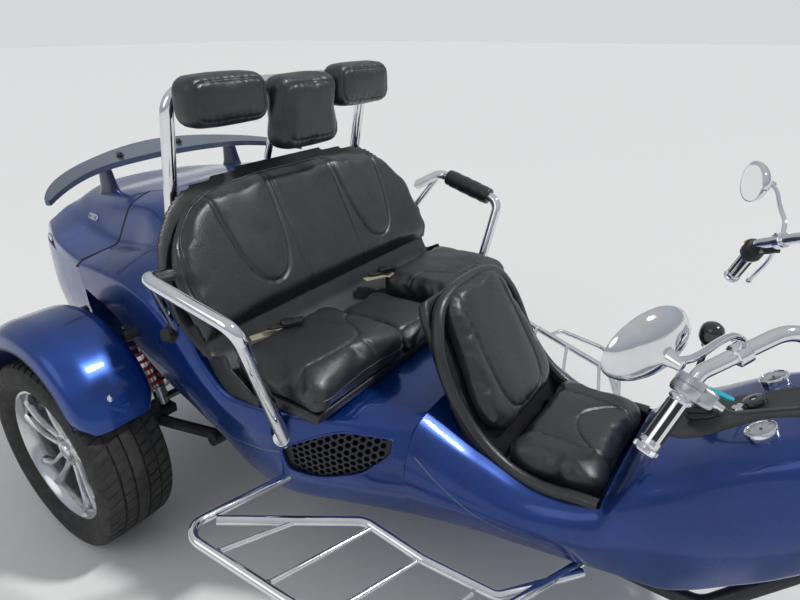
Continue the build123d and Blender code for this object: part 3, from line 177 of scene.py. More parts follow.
def to_shader(mat, **links):
    shader = mat.node_tree.nodes["Principled BSDF"]
    for key, value in links.items():
        mat.node_tree.links.new(value, shader.inputs[key.replace("_", " ")])


def bump(mat, height, strength, distance, normal=None):
    inputs = {"Height": height, "Strength": strength, "Distance": distance}
    if normal is not None:
        inputs["Normal"] = normal
    return add(mat.node_tree, "ShaderNodeBump", inputs).outputs[0]


def cells(mat, scale, feature="F1", output="Distance"):
    made = add(mat.node_tree, "ShaderNodeTexVoronoi", {"Vector": coords(mat, 1.0), "Scale": scale},
               feature=feature)
    return made.outputs[output]


def painted(name, dark, light, flake, rough=0.30, metallic=0.55):
    """Metallic lacquer: two-tone base, fine flakes, clear coat and faint dust."""
    mat = material(name, dark, rough, metallic, Coat_Weight=0.75, Coat_Roughness=0.02, Coat_IOR=1.42)
    base = blend_colours(mat, spread(mat, noise(mat, 2.2, 3), 0.3, 0.7, 0.0, 1.0), dark, light)
    sparkle = spread(mat, cells(mat, 1400.0, output="Color"), 0.0, 1.0, 0.0, 1.0)
    flaked = blend_colours(mat, spread(mat, sparkle, 0.82, 1.0, 0.0, 0.6), base, flake)
    dust = spread(mat, noise(mat, 38.0, 8, 0.7), 0.62, 0.80, 0.0, 0.10)
    to_shader(mat, Base_Color=blend_colours(mat, dust, flaked, (0.22, 0.24, 0.32)),
              Roughness=spread(mat, noise(mat, 14.0, 5), 0.35, 0.75, rough - 0.04, rough + 0.08))
    peel = bump(mat, noise(mat, 260.0, 2), 0.05, 0.0006)
    shader = mat.node_tree.nodes["Principled BSDF"]
    mat.node_tree.links.new(peel, shader.inputs["Normal"])
    mat.node_tree.links.new(peel, shader.inputs["Coat Normal"])
    return mat


blue_paint = painted("blue_lacquer", (0.0025, 0.025, 0.155), (0.005, 0.052, 0.285), (0.04, 0.18, 0.66))
gloss_blue = painted("pylon_lacquer", (0.008, 0.016, 0.05), (0.012, 0.024, 0.08), (0.06, 0.12, 0.3))
silver_blue = painted("spoiler_lacquer", (0.095, 0.120, 0.155), (0.150, 0.185, 0.235), (0.40, 0.48, 0.6),
                      0.18, 0.6)


def grained(name, colour, rough, scale=330.0, depth=0.0005, perforated=False):
    """Vinyl or moulded skin with a pebbled grain, and punched holes where the perf attribute says."""
    mat = material(name, colour, rough, 0.0, Specular_IOR_Level=0.55, Coat_Weight=0.20, Coat_Roughness=0.32)
    tree = mat.node_tree
    lighter = tuple(c * 1.25 + 0.001 for c in colour)
    tone = blend_colours(mat, spread(mat, noise(mat, 9.0, 6), 0.35, 0.7, 0.0, 1.0), colour, lighter)
    pebbles = cells(mat, scale, "DISTANCE_TO_EDGE")
    creases = spread(mat, pebbles, 0.0, 0.22, 0.0, 1.0)
    crinkle = noise(mat, 85.0, 5, 0.6)
    height = maths(mat, "ADD", maths(mat, "MULTIPLY", creases, 0.6), maths(mat, "MULTIPLY", crinkle, 0.35))
    normal = bump(mat, height, 0.45, depth)
    if perforated:
        mask = add(tree, "ShaderNodeAttribute", attribute_name="perf").outputs["Fac"]
        plane = add(tree, "ShaderNodeAttribute", attribute_name="pattern").outputs["Vector"]
        grid = add(tree, "ShaderNodeVectorMath", {0: plane, 1: (210.0, 210.0, 0.0)},
                   operation="MULTIPLY").outputs[0]
        cell = add(tree, "ShaderNodeVectorMath", {0: grid}, operation="FRACTION").outputs[0]
        away = add(tree, "ShaderNodeVectorMath", {0: cell, 1: (0.5, 0.5, 0.0)},
                   operation="DISTANCE").outputs["Value"]
        dots = maths(mat, "MULTIPLY", spread(mat, away, 0.19, 0.27, 1.0, 0.0), mask)
        tone = blend_colours(mat, maths(mat, "MULTIPLY", dots, 0.8), tone, (0.004, 0.004, 0.005))
        normal = bump(mat, maths(mat, "SUBTRACT", 1.0, dots), 0.8, 0.0012, normal)
    to_shader(mat, Base_Color=tone, Normal=normal,
              Roughness=spread(mat, noise(mat, 24.0, 6), 0.3, 0.75, rough - 0.07, rough + 0.10))
    return mat


vinyl = grained("seat_vinyl", (0.0165, 0.0180, 0.0205), 0.33, perforated=True)
vinyl_plain = grained("roll_vinyl", (0.0130, 0.0140, 0.0160), 0.31)
shell_black = grained("shell_skin", (0.0095, 0.0100, 0.0115), 0.42, 260.0, 0.0004)
dash_black = grained("dash_texture", (0.020, 0.020, 0.021), 0.62, 520.0, 0.0010)


def metal(name, colour, rough, smudge=0.05, grain=0.0):
    """Polished or cast metal with smudged gloss and, where grain is given, a cast surface."""
    mat = material(name, colour, rough, 1.0)
    tint = tuple(c * 0.90 for c in colour)
    to_shader(mat, Base_Color=blend_colours(mat, spread(mat, noise(mat, 17.0, 5), 0.4, 0.7, 0.0, 1.0),
                                            colour, tint),
              Roughness=spread(mat, noise(mat, 40.0, 8, 0.65), 0.35, 0.75, max(rough - smudge / 2, 0.02),
                               rough + smudge))
    if grain:
        to_shader(mat, Normal=bump(mat, noise(mat, 420.0, 3), 0.6, grain))
    else:
        to_shader(mat, Normal=bump(mat, noise(mat, 60.0, 2), 0.03, 0.0004))
    return mat


chrome = metal("chrome_plate", (0.80, 0.81, 0.83), 0.06)
satin = metal("satin_alloy", (0.56, 0.57, 0.59), 0.30, 0.08, 0.0002)
cast = metal("cast_alloy", (0.34, 0.345, 0.36), 0.48, 0.10, 0.0008)
alloy = metal("wheel_alloy", (0.62, 0.63, 0.65), 0.20, 0.10)
steel_dark = metal("brake_steel", (0.36, 0.36, 0.37), 0.34, 0.10, 0.0002)


def plain(name, colour, rough, metallic=0.0, depth=0.0003, scale=160.0, wear=0.35, **sockets):
    """Moulded or painted part with tone variation and a fine surface."""
    mat = material(name, colour, rough, metallic, **sockets)
    worn = tuple(min(c * (1 + wear) + 0.006, 1.0) for c in colour)
    to_shader(mat,
              Base_Color=blend_colours(mat, spread(mat, noise(mat, 26.0, 7, 0.65), 0.45, 0.75, 0.0, 1.0),
                                       colour, worn),
              Roughness=spread(mat, noise(mat, 50.0, 5), 0.35, 0.7, max(rough - 0.06, 0.02), rough + 0.08),
              Normal=bump(mat, noise(mat, scale, 4), 0.35, depth))
    return mat


frame_black = plain("frame_enamel", (0.020, 0.020, 0.022), 0.40)
spring_red = plain("spring_enamel", (0.42, 0.012, 0.018), 0.28, wear=0.2)
tyre_rubber = plain("tyre_rubber", (0.020, 0.0195, 0.019), 0.80, depth=0.0008, scale=240.0, wear=0.9)
black_rubber = plain("black_rubber", (0.017, 0.017, 0.018), 0.58, depth=0.0005)
gloss_black = plain("gloss_black", (0.010, 0.010, 0.011), 0.14, Coat_Weight=0.6)
dial_white = plain("dial_white", (0.80, 0.80, 0.77), 0.35, wear=0.05)
webbing = plain("belt_webbing", (0.30, 0.27, 0.19), 0.75, depth=0.001, scale=600.0)
key_teal = plain("key_plastic", (0.01, 0.36, 0.46), 0.35)
mark_red = plain("mark_red", (0.5, 0.02, 0.015), 0.35)
lamp_red = plain("lamp_lens_red", (0.42, 0.008, 0.010), 0.10, Coat_Weight=1.0)
lamp_amber = plain("lamp_lens_amber", (0.75, 0.22, 0.01), 0.12, Coat_Weight=1.0)
mirror_face = material("mirror_glass", (0.92, 0.93, 0.94), 0.015, 1.0)
to_shader(mirror_face, Roughness=spread(mirror_face, noise(mirror_face, 30.0, 5), 0.4, 0.8, 0.01, 0.05))
clear_glass = material("clear_glass", (0.93, 0.96, 0.98), 0.03, 0.0, Transmission_Weight=1.0, IOR=1.45)
to_shader(clear_glass, Roughness=spread(clear_glass, noise(clear_glass, 30.0, 5), 0.4, 0.8, 0.02, 0.07))

lamp_clear = plain("lamp_lens_clear", (0.62, 0.64, 0.66), 0.10, Coat_Weight=1.0)
# Blue-grey for the strips along the flank seams: painted highlight of the seam edges, lighter than the
# lacquer
seam_highlight_paint = plain("painted_seam_highlight", (0.16, 0.20, 0.30), 0.25, 0.6)
thread_grey = plain("sewing_thread", (0.035, 0.036, 0.038), 0.60, wear=0.6)
mesh_black = plain("mesh_enamel", (0.012, 0.012, 0.012), 0.5)
button_yellow = plain("button_yellow", (0.75, 0.50, 0.02), 0.35)

# Floor: pale, and the same colour as the far background
floor_mat = plain("studio_floor", (0.74, 0.735, 0.72), 0.85, depth=0.0002, wear=0.02)
floor_mesh = bpy.data.meshes.new("floor")
floor_mesh.from_pydata([(-60, -60, 0), (60, -60, 0), (60, 60, 0), (-60, 60, 0)], [], [(0, 1, 2, 3)])
floor = bpy.data.objects.new("floor", floor_mesh)
floor.location.z = -0.0005
floor_mesh.materials.append(floor_mat)
scene.collection.objects.link(floor)

# Mesh helpers


def unit(way):
    return way / np.linalg.norm(way)


def square_to(way, hint):
    """Two directions square to way: the first is also square to the hint."""
    first = unit(np.cross(way, hint))
    return first, np.cross(way, first)


def mark_sharp(mesh, degrees):
    """Smooth shading with sharp edges above an angle."""
    bm = bmesh.new()
    bm.from_mesh(mesh)
    limit = math.radians(degrees)
    for face in bm.faces:
        face.smooth = True
    for edge in bm.edges:
        edge.smooth = not (len(edge.link_faces) == 2 and edge.calc_face_angle(0.0) > limit)
    bm.to_mesh(mesh)
    bm.free()


def piece(name, verts, faces, body, mat, slot=None, replaces=(), sharp=35.0, recalc=True):
    """A mesh object from points in millimetres that rides on a body."""
    mesh = bpy.data.meshes.new(name)
    mesh.from_pydata([tuple(float(c) * MM for c in v) for v in verts], [], faces)
    if recalc:
        bm = bmesh.new()
        bm.from_mesh(mesh)
        bmesh.ops.recalc_face_normals(bm, faces=bm.faces)
        bm.to_mesh(mesh)
        bm.free()
    mark_sharp(mesh, sharp)
    mesh.materials.append(mat)
    obj = bpy.data.objects.new(name, mesh)
    scene.collection.objects.link(obj)
    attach(obj, body)
    if replaces:
        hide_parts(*replaces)
    return obj


def settle(obj, sharp=None):
    """Applies the modifiers to the mesh."""
    bpy.context.view_layer.update()
    done = obj.evaluated_get(bpy.context.evaluated_depsgraph_get())
    mesh = bpy.data.meshes.new_from_object(done)
    obj.modifiers.clear()
    old = obj.data
    obj.data = mesh
    bpy.data.meshes.remove(old)
    mesh.name = obj.name
    if sharp is not None:
        mark_sharp(mesh, sharp)
    return obj


def pchip(xs, rows, at):
    """Smooth interpolation without overshoot through table rows."""
    xs, rows, at = np.asarray(xs, float), np.asarray(rows, float), np.asarray(at, float)
    step = np.diff(xs)
    slope = np.diff(rows, axis=0) / step[:, None]
    tangent = np.zeros_like(rows)
    for k in range(1, len(xs) - 1):
        same = slope[k - 1] * slope[k] > 0
        w1, w2 = 2 * step[k] + step[k - 1], step[k] + 2 * step[k - 1]
        with np.errstate(divide="ignore", invalid="ignore"):
            mean = (w1 + w2) / (w1 / slope[k - 1] + w2 / slope[k])
        tangent[k] = np.where(same, mean, 0.0)
    tangent[0], tangent[-1] = slope[0], slope[-1]
    found = []
    for x in at:
        k = int(np.clip(np.searchsorted(xs, x) - 1, 0, len(xs) - 2))
        t = (x - xs[k]) / step[k]
        h00, h10 = 2 * t**3 - 3 * t**2 + 1, t**3 - 2 * t**2 + t
        h01, h11 = -2 * t**3 + 3 * t**2, t**3 - t**2
        found.append(h00 * rows[k] + h10 * step[k] * tangent[k] + h01 * rows[k + 1] + h11 * step[k]
                     * tangent[k + 1])
    return np.array(found)


def rounded(points, radii, arc=6, fill=3, bulge=0.0):
    """An open outline with rounded inner corners and gently bulged runs."""
    points = [np.asarray(p, float) for p in points]
    made = [points[0]]
    start = points[0]
    for k in range(1, len(points)):
        corner = points[k]
        last = k == len(points) - 1
        if last:
            stop = corner
        else:
            back = points[k - 1] - corner
            ahead = points[k + 1] - corner
            reach = min(radii[k - 1], 0.48 * np.linalg.norm(back), 0.48 * np.linalg.norm(ahead))
            stop = corner + back / max(np.linalg.norm(back), 1e-9) * reach
            leave = corner + ahead / max(np.linalg.norm(ahead), 1e-9) * reach
        run = stop - start
        out = np.array([run[1], -run[0]]) / max(np.linalg.norm(run), 1e-9)
        for j in range(1, fill + 1):
            t = j / fill
            made.append(start + run * t + out * bulge * np.linalg.norm(run) * 4 * t * (1 - t))
        if not last:
            for j in range(1, arc + 1):
                t = j / arc
                made.append((1 - t) ** 2 * stop + 2 * t * (1 - t) * corner + t**2 * leave)
            start = leave
    return np.array(made)


def rings_to_mesh(rings, close_ring=True, cap_start=False, cap_end=False):
    """Vertices and faces that join rings of the same length."""
    count = len(rings[0])
    verts = [tuple(p) for ring in rings for p in ring]
    faces = []
    for r in range(len(rings) - 1):
        for k in range(count if close_ring else count - 1):
            n = (k + 1) % count
            faces.append((r * count + k, r * count + n, (r + 1) * count + n, (r + 1) * count + k))
    if cap_start:
        faces.append(tuple(range(count))[::-1])
    if cap_end:
        faces.append(tuple((len(rings) - 1) * count + k for k in range(count)))
    return verts, faces


def body_rings(stations, radii, xs, bulge=0.012, top_crown=0.0, arc=6, fill=4):
    """Closed sections across X from half outlines listed from the bottom to the top."""
    xs_known = [s[0] for s in stations]
    flat = np.array([np.array(s[1], float).ravel() for s in stations])
    rows = pchip(xs_known, flat, xs)
    rings = []
    for x, row in zip(xs, rows):
        pts = row.reshape(-1, 2)
        half = [np.array([0.0, pts[0][1]])] + list(pts) + [np.array([0.0, pts[-1][1] + top_crown])]
        line = rounded(half, radii, arc, fill, bulge)
        right = [(x, -y, z) for y, z in line]
        left = [(x, y, z) for y, z in line[::-1][1:-1]]
        rings.append(right + left)
    return rings


def tube(name, points, radius, body, mat, smooth=False, replaces=(), sides=4, cyclic=False):
    """A round tube along points in millimetres, as a mesh."""
    data = bpy.data.curves.new(name, "CURVE")
    data.dimensions = "3D"
    data.bevel_depth = radius * MM
    data.bevel_resolution = sides
    data.use_fill_caps = not cyclic
    data.resolution_u = 12
    spline = data.splines.new("NURBS" if smooth else "POLY")
    spline.points.add(len(points) - 1)
    for k, p in enumerate(points):
        spline.points[k].co = (*(float(c) * MM for c in p), 1)
    if smooth:
        spline.order_u = 3
        spline.use_endpoint_u = not cyclic
    spline.use_cyclic_u = cyclic
    curve = bpy.data.objects.new(name + "_path", data)
    scene.collection.objects.link(curve)
    bpy.context.view_layer.update()
    mesh = bpy.data.meshes.new_from_object(curve.evaluated_get(bpy.context.evaluated_depsgraph_get()))
    bpy.data.objects.remove(curve)
    mesh.materials.clear()
    mesh.materials.append(mat)
    mark_sharp(mesh, 50)
    mesh.name = name
    obj = bpy.data.objects.new(name, mesh)
    scene.collection.objects.link(obj)
    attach(obj, body)
    if replaces:
        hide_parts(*replaces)
    return obj


def lathe(name, profile, centre, axis, body, mat, steps=48, **more):
    """A body of revolution: profile rows are (along, radius) from the centre along the axis."""
    axis = Vector(axis).normalized()
    side = axis.orthogonal().normalized()
    other = axis.cross(side)
    centre = Vector(centre)
    rings = []
    for along, radius in profile:
        ring = []
        for k in range(steps):
            a = 2 * math.pi * k / steps
            ring.append(centre + axis * along + (side * math.cos(a) + other * math.sin(a)) * radius)
        rings.append(ring)
    verts, faces = rings_to_mesh(rings, True, profile[0][1] > 1e-6, profile[-1][1] > 1e-6)
    return piece(name, verts, faces, body, mat, **more)


def cut(obj, verts, faces, name="cutter"):
    """Cuts a closed shape, in millimetres, out of a piece."""
    mesh = bpy.data.meshes.new(name)
    mesh.from_pydata([tuple(float(c) * MM for c in v) for v in verts], [], faces)
    bm = bmesh.new()
    bm.from_mesh(mesh)
    bmesh.ops.recalc_face_normals(bm, faces=bm.faces)
    bm.to_mesh(mesh)
    bm.free()
    tool = bpy.data.objects.new(name, mesh)
    scene.collection.objects.link(tool)
    change = obj.modifiers.new("cut", "BOOLEAN")
    change.operation = "DIFFERENCE"
    change.solver = "EXACT"
    change.object = tool
    settle(obj)
    bpy.data.objects.remove(tool)
    bpy.data.meshes.remove(mesh)
    return obj


def prism(outline, low_y, high_y):
    """A prism across Y from (x, z) points."""
    n = len(outline)
    verts = [(x, low_y, z) for x, z in outline] + [(x, high_y, z) for x, z in outline]
    faces = [tuple(range(n)), tuple(range(n, 2 * n))[::-1]]
    faces += [(k, (k + 1) % n, n + (k + 1) % n, n + k) for k in range(n)]
    return verts, faces


def wall(obj, thickness):
    """Gives a skin its wall, inward."""
    change = obj.modifiers.new("wall", "SOLIDIFY")
    change.thickness = thickness * MM
    change.offset = -1.0
    return settle(obj)


def dress(node, mat):
    """A better material on a CAD node."""
    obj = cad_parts[node]
    obj.data.materials.clear()
    obj.data.materials.append(mat)

# Body skins
# Half outlines: bottom, side, shelf edge, shelf foot, wall top, deck edge as (y, z)
REAR_STATIONS = [
    (-1280, [(470, 455), (535, 700), (538, 862), (400, 889), (368, 1012), (306, 1042)]),
    (-1177, [(472, 450), (540, 685), (546, 870), (404, 902), (374, 1030), (310, 1060)]),
    (-1040, [(476, 436), (543, 650), (554, 868), (425, 925), (384, 1048), (310, 1078)]),
    (-900, [(480, 420), (545, 610), (558, 828), (450, 932), (398, 1046), (304, 1084)]),
    (-800, [(485, 395), (545, 560), (557, 742), (520, 850), (430, 916), (300, 934)]),
    (-700, [(490, 370), (540, 500), (554, 630), (541, 680), (430, 688), (300, 692)]),
    (-600, [(495, 330), (532, 450), (548, 560), (536, 609), (440, 618), (300, 620)]),
    (-480, [(480, 296), (522, 400), (536, 530), (518, 605), (430, 617), (300, 620)]),
    (-300, [(412, 288), (462, 395), (468, 500), (440, 597), (370, 614), (240, 620)]),
    (-120, [(345, 286), (390, 400), (392, 500), (350, 588), (290, 604), (200, 610)]),
]
REAR_ROUNDS = [26, 70, 16, 15, 20, 30]
ARCH = [(-560, 200), (-640, 380), (-781, 470), (-922, 513), (-1019, 627), (-1093, 729), (-1263, 775),
        (-1400, 775), (-1400, 200)]
INTAKE = [(-436, 505), (-424, 425), (-345, 410), (-230, 450), (-158, 520), (-160, 560), (-290, 566)]
SEAT_POCKET = [(-131, 716), (-5.4, 503.4), (-0.3, 425), (347, 425), (347, 716)]


def smooth_outline(points, keep, steps=8, share=0.42):
    """Rounds the corners of a closed outline whose keep flags are False."""
    n = len(points)
    made = []
    for k in range(n):
        here = np.array(points[k], float)
        if keep[k]:
            made.append(tuple(here))
            continue
        before = np.array(points[k - 1], float)
        after = np.array(points[(k + 1) % n], float)
        a = here + (before - here) * share
        b = here + (after - here) * share
        for j in range(steps + 1):
            t = j / steps
            made.append(tuple((1 - t) ** 2 * a + 2 * t * (1 - t) * here + t**2 * b))
    return made


arch_outline = smooth_outline(ARCH, [True, False, False, False, False, False, True, True, True])
intake_outline = smooth_outline(INTAKE, [False] * len(INTAKE), 6, 0.26)
vent_outline = []
for k in range(28):
    a = 2 * math.pi * k / 28
    lean = math.radians(20)
    u, v = 9 * math.cos(a), 17 * math.sin(a)
    vent_outline.append((-452 + u * math.cos(lean) - v * math.sin(lean),
                         545 + u * math.sin(lean) + v * math.cos(lean)))


def seam_cutter(shift, keep_front):
    """A box whose slanted face is the seam between the deck and the lid."""
    low = np.array([SEAM_X + shift, SEAM_Z])
    up = np.array([SEAM_X + SEAM_RUN + shift, SEAM_Z + SEAM_RISE])
    way = unit(up - low)
    bottom, top = low - way * 1200, low + way * 900
    reach = -1500 if keep_front else 2500
    outline = [tuple(bottom), tuple(top), (top[0] + reach, top[1]), (bottom[0] + reach, bottom[1])]
    return prism(outline, -900, 900)


xs = np.concatenate([np.linspace(-1280, -600, 50), np.linspace(-588, -120, 32)])
verts, faces = rings_to_mesh(body_rings(REAR_STATIONS, REAR_ROUNDS, xs, 0.010, 5), True, False, True)
rear_skin = wall(piece("rear_body_skin", verts, faces, "chassis", blue_paint, "blue_paint",
                       ["rear_body"]), 6)
for outline in (arch_outline, intake_outline, vent_outline):
    cut(rear_skin, *prism(outline, -700, 700))
cut(rear_skin, *seam_cutter(0.0, True))
mark_sharp(rear_skin.data, 38)

FRONT_STATIONS = [
    (-120, [(345, 286), (390, 400), (392, 500), (350, 588), (230, 610)]),
    (30, [(300, 285), (352, 390), (342, 455), (306, 512), (200, 526)]),
    (200, [(268, 285), (318, 385), (308, 428), (278, 464), (180, 474)]),
    (352, [(240, 286), (290, 400), (284, 442), (256, 498), (170, 510)]),
    (392, [(234, 287), (284, 430), (272, 510), (236, 572), (120, 594)]),
    (489, [(220, 290), (268, 470), (256, 570), (226, 636), (150, 660)]),
    (655, [(198, 385), (244, 550), (238, 660), (212, 746), (160, 772)]),
    (780, [(165, 480), (215, 620), (208, 720), (182, 796), (100, 828)]),
    (880, [(115, 575), (160, 680), (152, 760), (128, 812), (80, 840)]),
]
xs = np.concatenate([np.linspace(-119.7, 340, 28), np.linspace(350, 880, 44)])
verts, faces = rings_to_mesh(body_rings(FRONT_STATIONS, [24, 60, 50, 50, 40, 24], xs, 0.014, 3), True,
                             True, True)
front_skin = piece("front_body_skin", verts, faces, "chassis", blue_paint, "blue_paint", ["front_body"], 38)
cut(front_skin, *prism(SEAT_POCKET, -250.3, 250.3))
mark_sharp(front_skin.data, 38)

# Boot tub, open at the top
TUB_STATIONS = [
    (-1280, [(470, 455), (533, 700), (530, 845)]),
    (-1506, [(455, 470), (500, 700), (488, 845)]),
    (-1640, [(425, 500), (455, 700), (448, 845)]),
    (-1724, [(380, 540), (402, 700), (405, 845)]),
]


def tub_ring(x):
    row = pchip([-s[0] for s in TUB_STATIONS], [np.array(s[1], float).ravel() for s in TUB_STATIONS],
                [-x])[0]
    pts = row.reshape(-1, 2)
    half = [np.array([0.0, pts[0][1]])] + list(pts)
    line = rounded(half, [30, 60], 6, 4, 0.008)
    return [(x, -y, z) for y, z in line[::-1]] + [(x, y, z) for y, z in line[1:]]


outer = [tub_ring(x) for x in np.linspace(-1280, -1724, 36)]
verts, faces = rings_to_mesh(outer, False)
n = len(outer[0])
faces.append(tuple(range(n)))
faces.append(tuple((len(outer) - 1) * n + k for k in range(n)))
tub = wall(piece("boot_tub_skin", verts, faces, "chassis", blue_paint, "blue_paint", ["boot_tub"], 38), 6)
mark_sharp(tub.data, 38)

# Boot lid: rim, shelf edge, shelf foot, wall top, deck edge
LID_STATIONS = [
    (-1177, [(541, LID_RIM_Z), (538, 864), (400, 890), (372, 1022), (310, 1055)]),
    (-1340, [(522, LID_RIM_Z), (520, 872), (390, 894), (356, 1002), (300, 1034)]),
    (-1500, [(489, LID_RIM_Z), (487, 884), (374, 906), (326, 984), (276, 1010)]),
    (-1640, [(436, LID_RIM_Z), (432, 893), (340, 926), (286, 972), (222, 998)]),
    (-1724, [(405, LID_RIM_Z), (396, 888), (322, 930), (222, 958), (130, 990)]),
]


def lid_ring(x):
    row = pchip([-s[0] for s in LID_STATIONS], [np.array(s[1], float).ravel() for s in LID_STATIONS],
                [-x])[0]
    pts = row.reshape(-1, 2)
    half = list(pts) + [np.array([0.0, pts[-1][1] + 5])]
    line = rounded(half, [12, 14, 18, 30], 5, 4, 0.008)
    return [(x, -y, z) for y, z in line] + [(x, y, z) for y, z in line[::-1][1:]]


outer = [[(-1120, y, z) for _, y, z in lid_ring(-1177)]]
outer += [lid_ring(x) for x in np.linspace(-1177, -1700, 46)]
# Tail: the last rings draw in a little, and the rear face drops to the tub's rim
for back, drop in ((-1715, 4), (-1724, 12)):
    outer.append([(back, y * (1 - drop / 900), LID_RIM_Z + (z - LID_RIM_Z) * (1 - drop / 220))
                  for _, y, z in lid_ring(-1724)])
verts, faces = rings_to_mesh(outer, False)
n = len(outer[0])
base = len(verts)
verts += [(-1724, y, LID_RIM_Z) for _, y, z in outer[-1]]
faces += [((len(outer) - 1) * n + k, (len(outer) - 1) * n + k + 1, base + k + 1, base + k)
          for k in range(n - 1)]
lid = wall(piece("boot_lid_skin", verts, faces, "boot_lid", blue_paint, "blue_paint", ["boot_lid"], 38), 6)
cut(lid, *seam_cutter(-8.0, False))
mark_sharp(lid.data, 38)


def underside(x, y):
    """Height of the spoiler's lower face."""
    return 1050 - 12 * (y / 600) ** 2 + 0.30 * (-1300 - x)


# Pylons: tapered posts with a flared foot that carry the spoiler
for side, tag in SIDES:
    rings = []
    for share in np.linspace(0, 1, 12):
        flare = 1 + 0.30 * (1 - share) ** 6
        long, wide = (48 - 16 * share) * flare, (17 - 6 * share) * flare
        middle_x = -1458 - 14 * share
        foot, head = 998, underside(middle_x, 278) - 0.5
        ring = []
        for k in range(28):
            a = 2 * math.pi * k / 28
            c, s = math.cos(a), math.sin(a)
            dx = long * math.copysign(abs(c) ** 0.6, c)
            dy = wide * math.copysign(abs(s) ** 0.6, s)
            level = foot + (head - foot) * share
            if share == 1:
                level = underside(middle_x + dx, 278) - 0.5
            ring.append((middle_x + dx, side * 278 + dy, level))
        rings.append(ring)
    verts, faces = rings_to_mesh(rings, True, True, True)
    piece(f"spoiler_pylon_{tag}", verts, faces, "boot_lid", gloss_blue, "blue_paint", ["boot_lid"], 50)

# Rear fenders
FENDER_TOP = (-1153, 770)


def fender_section(crown):
    lip = crown - 66
    outline = [(585, lip), (588, crown - 26), (622, crown), (766, crown), (818, crown - 22), (828, lip)]
    return rounded(outline, [34, 60, 66, 50], 7, 3, 0.0)


for side, tag in ((1, "right"), (-1, "left")):
    rows = []
    for radius, first, last, steps in [(FENDER_FRONT_R, 80, 0, 26), (FENDER_REAR_R, 0, -78, 28)]:
        centre = (FENDER_TOP[0], FENDER_TOP[1] - radius)
        for k in range(steps):
            if rows and k == 0:
                continue
            angle = math.radians(first + (last - first) * k / (steps - 1))
            out = (math.sin(angle), math.cos(angle))
            rows.append([(centre[0] + out[0] * r, -side * y, centre[1] + out[1] * r)
                         for y, r in fender_section(radius)])
    # Rounded ends: the last rows draw in at both edges
    for order in (range(0, 5), range(-1, -6, -1)):
        for j, index in enumerate(order):
            pull = [34, 19, 9, 3, 1][j]
            rows[index] = [(x, y - math.copysign(pull, (abs(y) - 706) * y)
                            * min(1, (abs(abs(y) - 706) / 122) ** 3), z)
                           for x, y, z in rows[index]]
    verts, faces = rings_to_mesh(rows, False)
    fender = wall(piece(f"fender_skin_{tag}", verts, faces, "chassis", blue_paint, "blue_paint",
                        ["rear_fenders"], 45), 6)
    mark_sharp(fender.data, 45)
    # Brackets between the fender and the body, which the skin's node carries
    for x, z, reach in ((-1000, 700, 546), (-1300, 690, 531)):
        tube(f"fender_bracket_{tag}_{-x}", [(x, -side * 588, z), (x, -side * reach, z)], 14, "chassis",
             frame_black, replaces=["rear_fenders"])


# Helpers on surfaces
def land(obj, start, way):
    """Where a ray in millimetres meets a piece, and the surface's normal there."""
    hit, place, normal, _ = obj.ray_cast(Vector(start) * MM, Vector(way).normalized())
    if not hit:
        return None, None
    return place / MM, normal


def flank_line(points, side, lift, obj=None):
    """Points (x, z) carried to the body's flank, a little off its surface, on the side -1 or 1."""
    found = []
    for x, z in points:
        place, normal = land(obj or rear_skin, (x, side * 760, z), (0, -side, 0))
        if place is not None:
            found.append(tuple(place + normal * lift))
    return found


def dense(points, step=12.0):
    """Points along a polyline at a close step, with its corners eased."""
    points = np.array(points, float)
    lengths = np.concatenate([[0], np.cumsum(np.linalg.norm(np.diff(points, axis=0), axis=1))])
    count = max(int(lengths[-1] / step), 2)
    return pchip(lengths, points, np.linspace(0, lengths[-1], count + 1))


def strip(name, points, side, width, lift, body, mat, obj=None, slot=None):
    """A thin raised band along a flank line: its section is a low arch."""
    line = [Vector(p) for p in flank_line(points, side, 0.0, obj)]
    rings = []
    for k, here in enumerate(line):
        ahead = line[min(k + 1, len(line) - 1)] - line[max(k - 1, 0)]
        _, normal = land(obj or rear_skin, (here.x, side * 760, here.z), (0, -side, 0))
        normal = normal if normal is not None else Vector((0, side, 0))
        across = ahead.cross(normal).normalized()
        rings.append([here + across * (width / 2 * c) + normal * (lift * s - 1.0)
                      for c, s in ((-1, 0.2), (-0.8, 0.8), (0, 1.1), (0.8, 0.8), (1, 0.2))])
    verts, faces = rings_to_mesh(rings, True, True, True)
    return piece(name, verts, faces, body, mat, slot)


def screw(name, centre, axis, radius, body, mat, slot=None, socket=True):
    """A round-headed screw with a round recessed socket."""
    profile = [(0.0, radius), (radius * 0.35, radius), (radius * 0.62, radius * 0.8),
               (radius * 0.68, radius * 0.5)]
    if socket:
        profile += [(radius * 0.34, radius * 0.46), (radius * 0.32, 0.0)]
    else:
        profile += [(radius * 0.74, 0.0)]
    return lathe(name, profile, centre, axis, body, mat, 20, slot=slot, sharp=30)
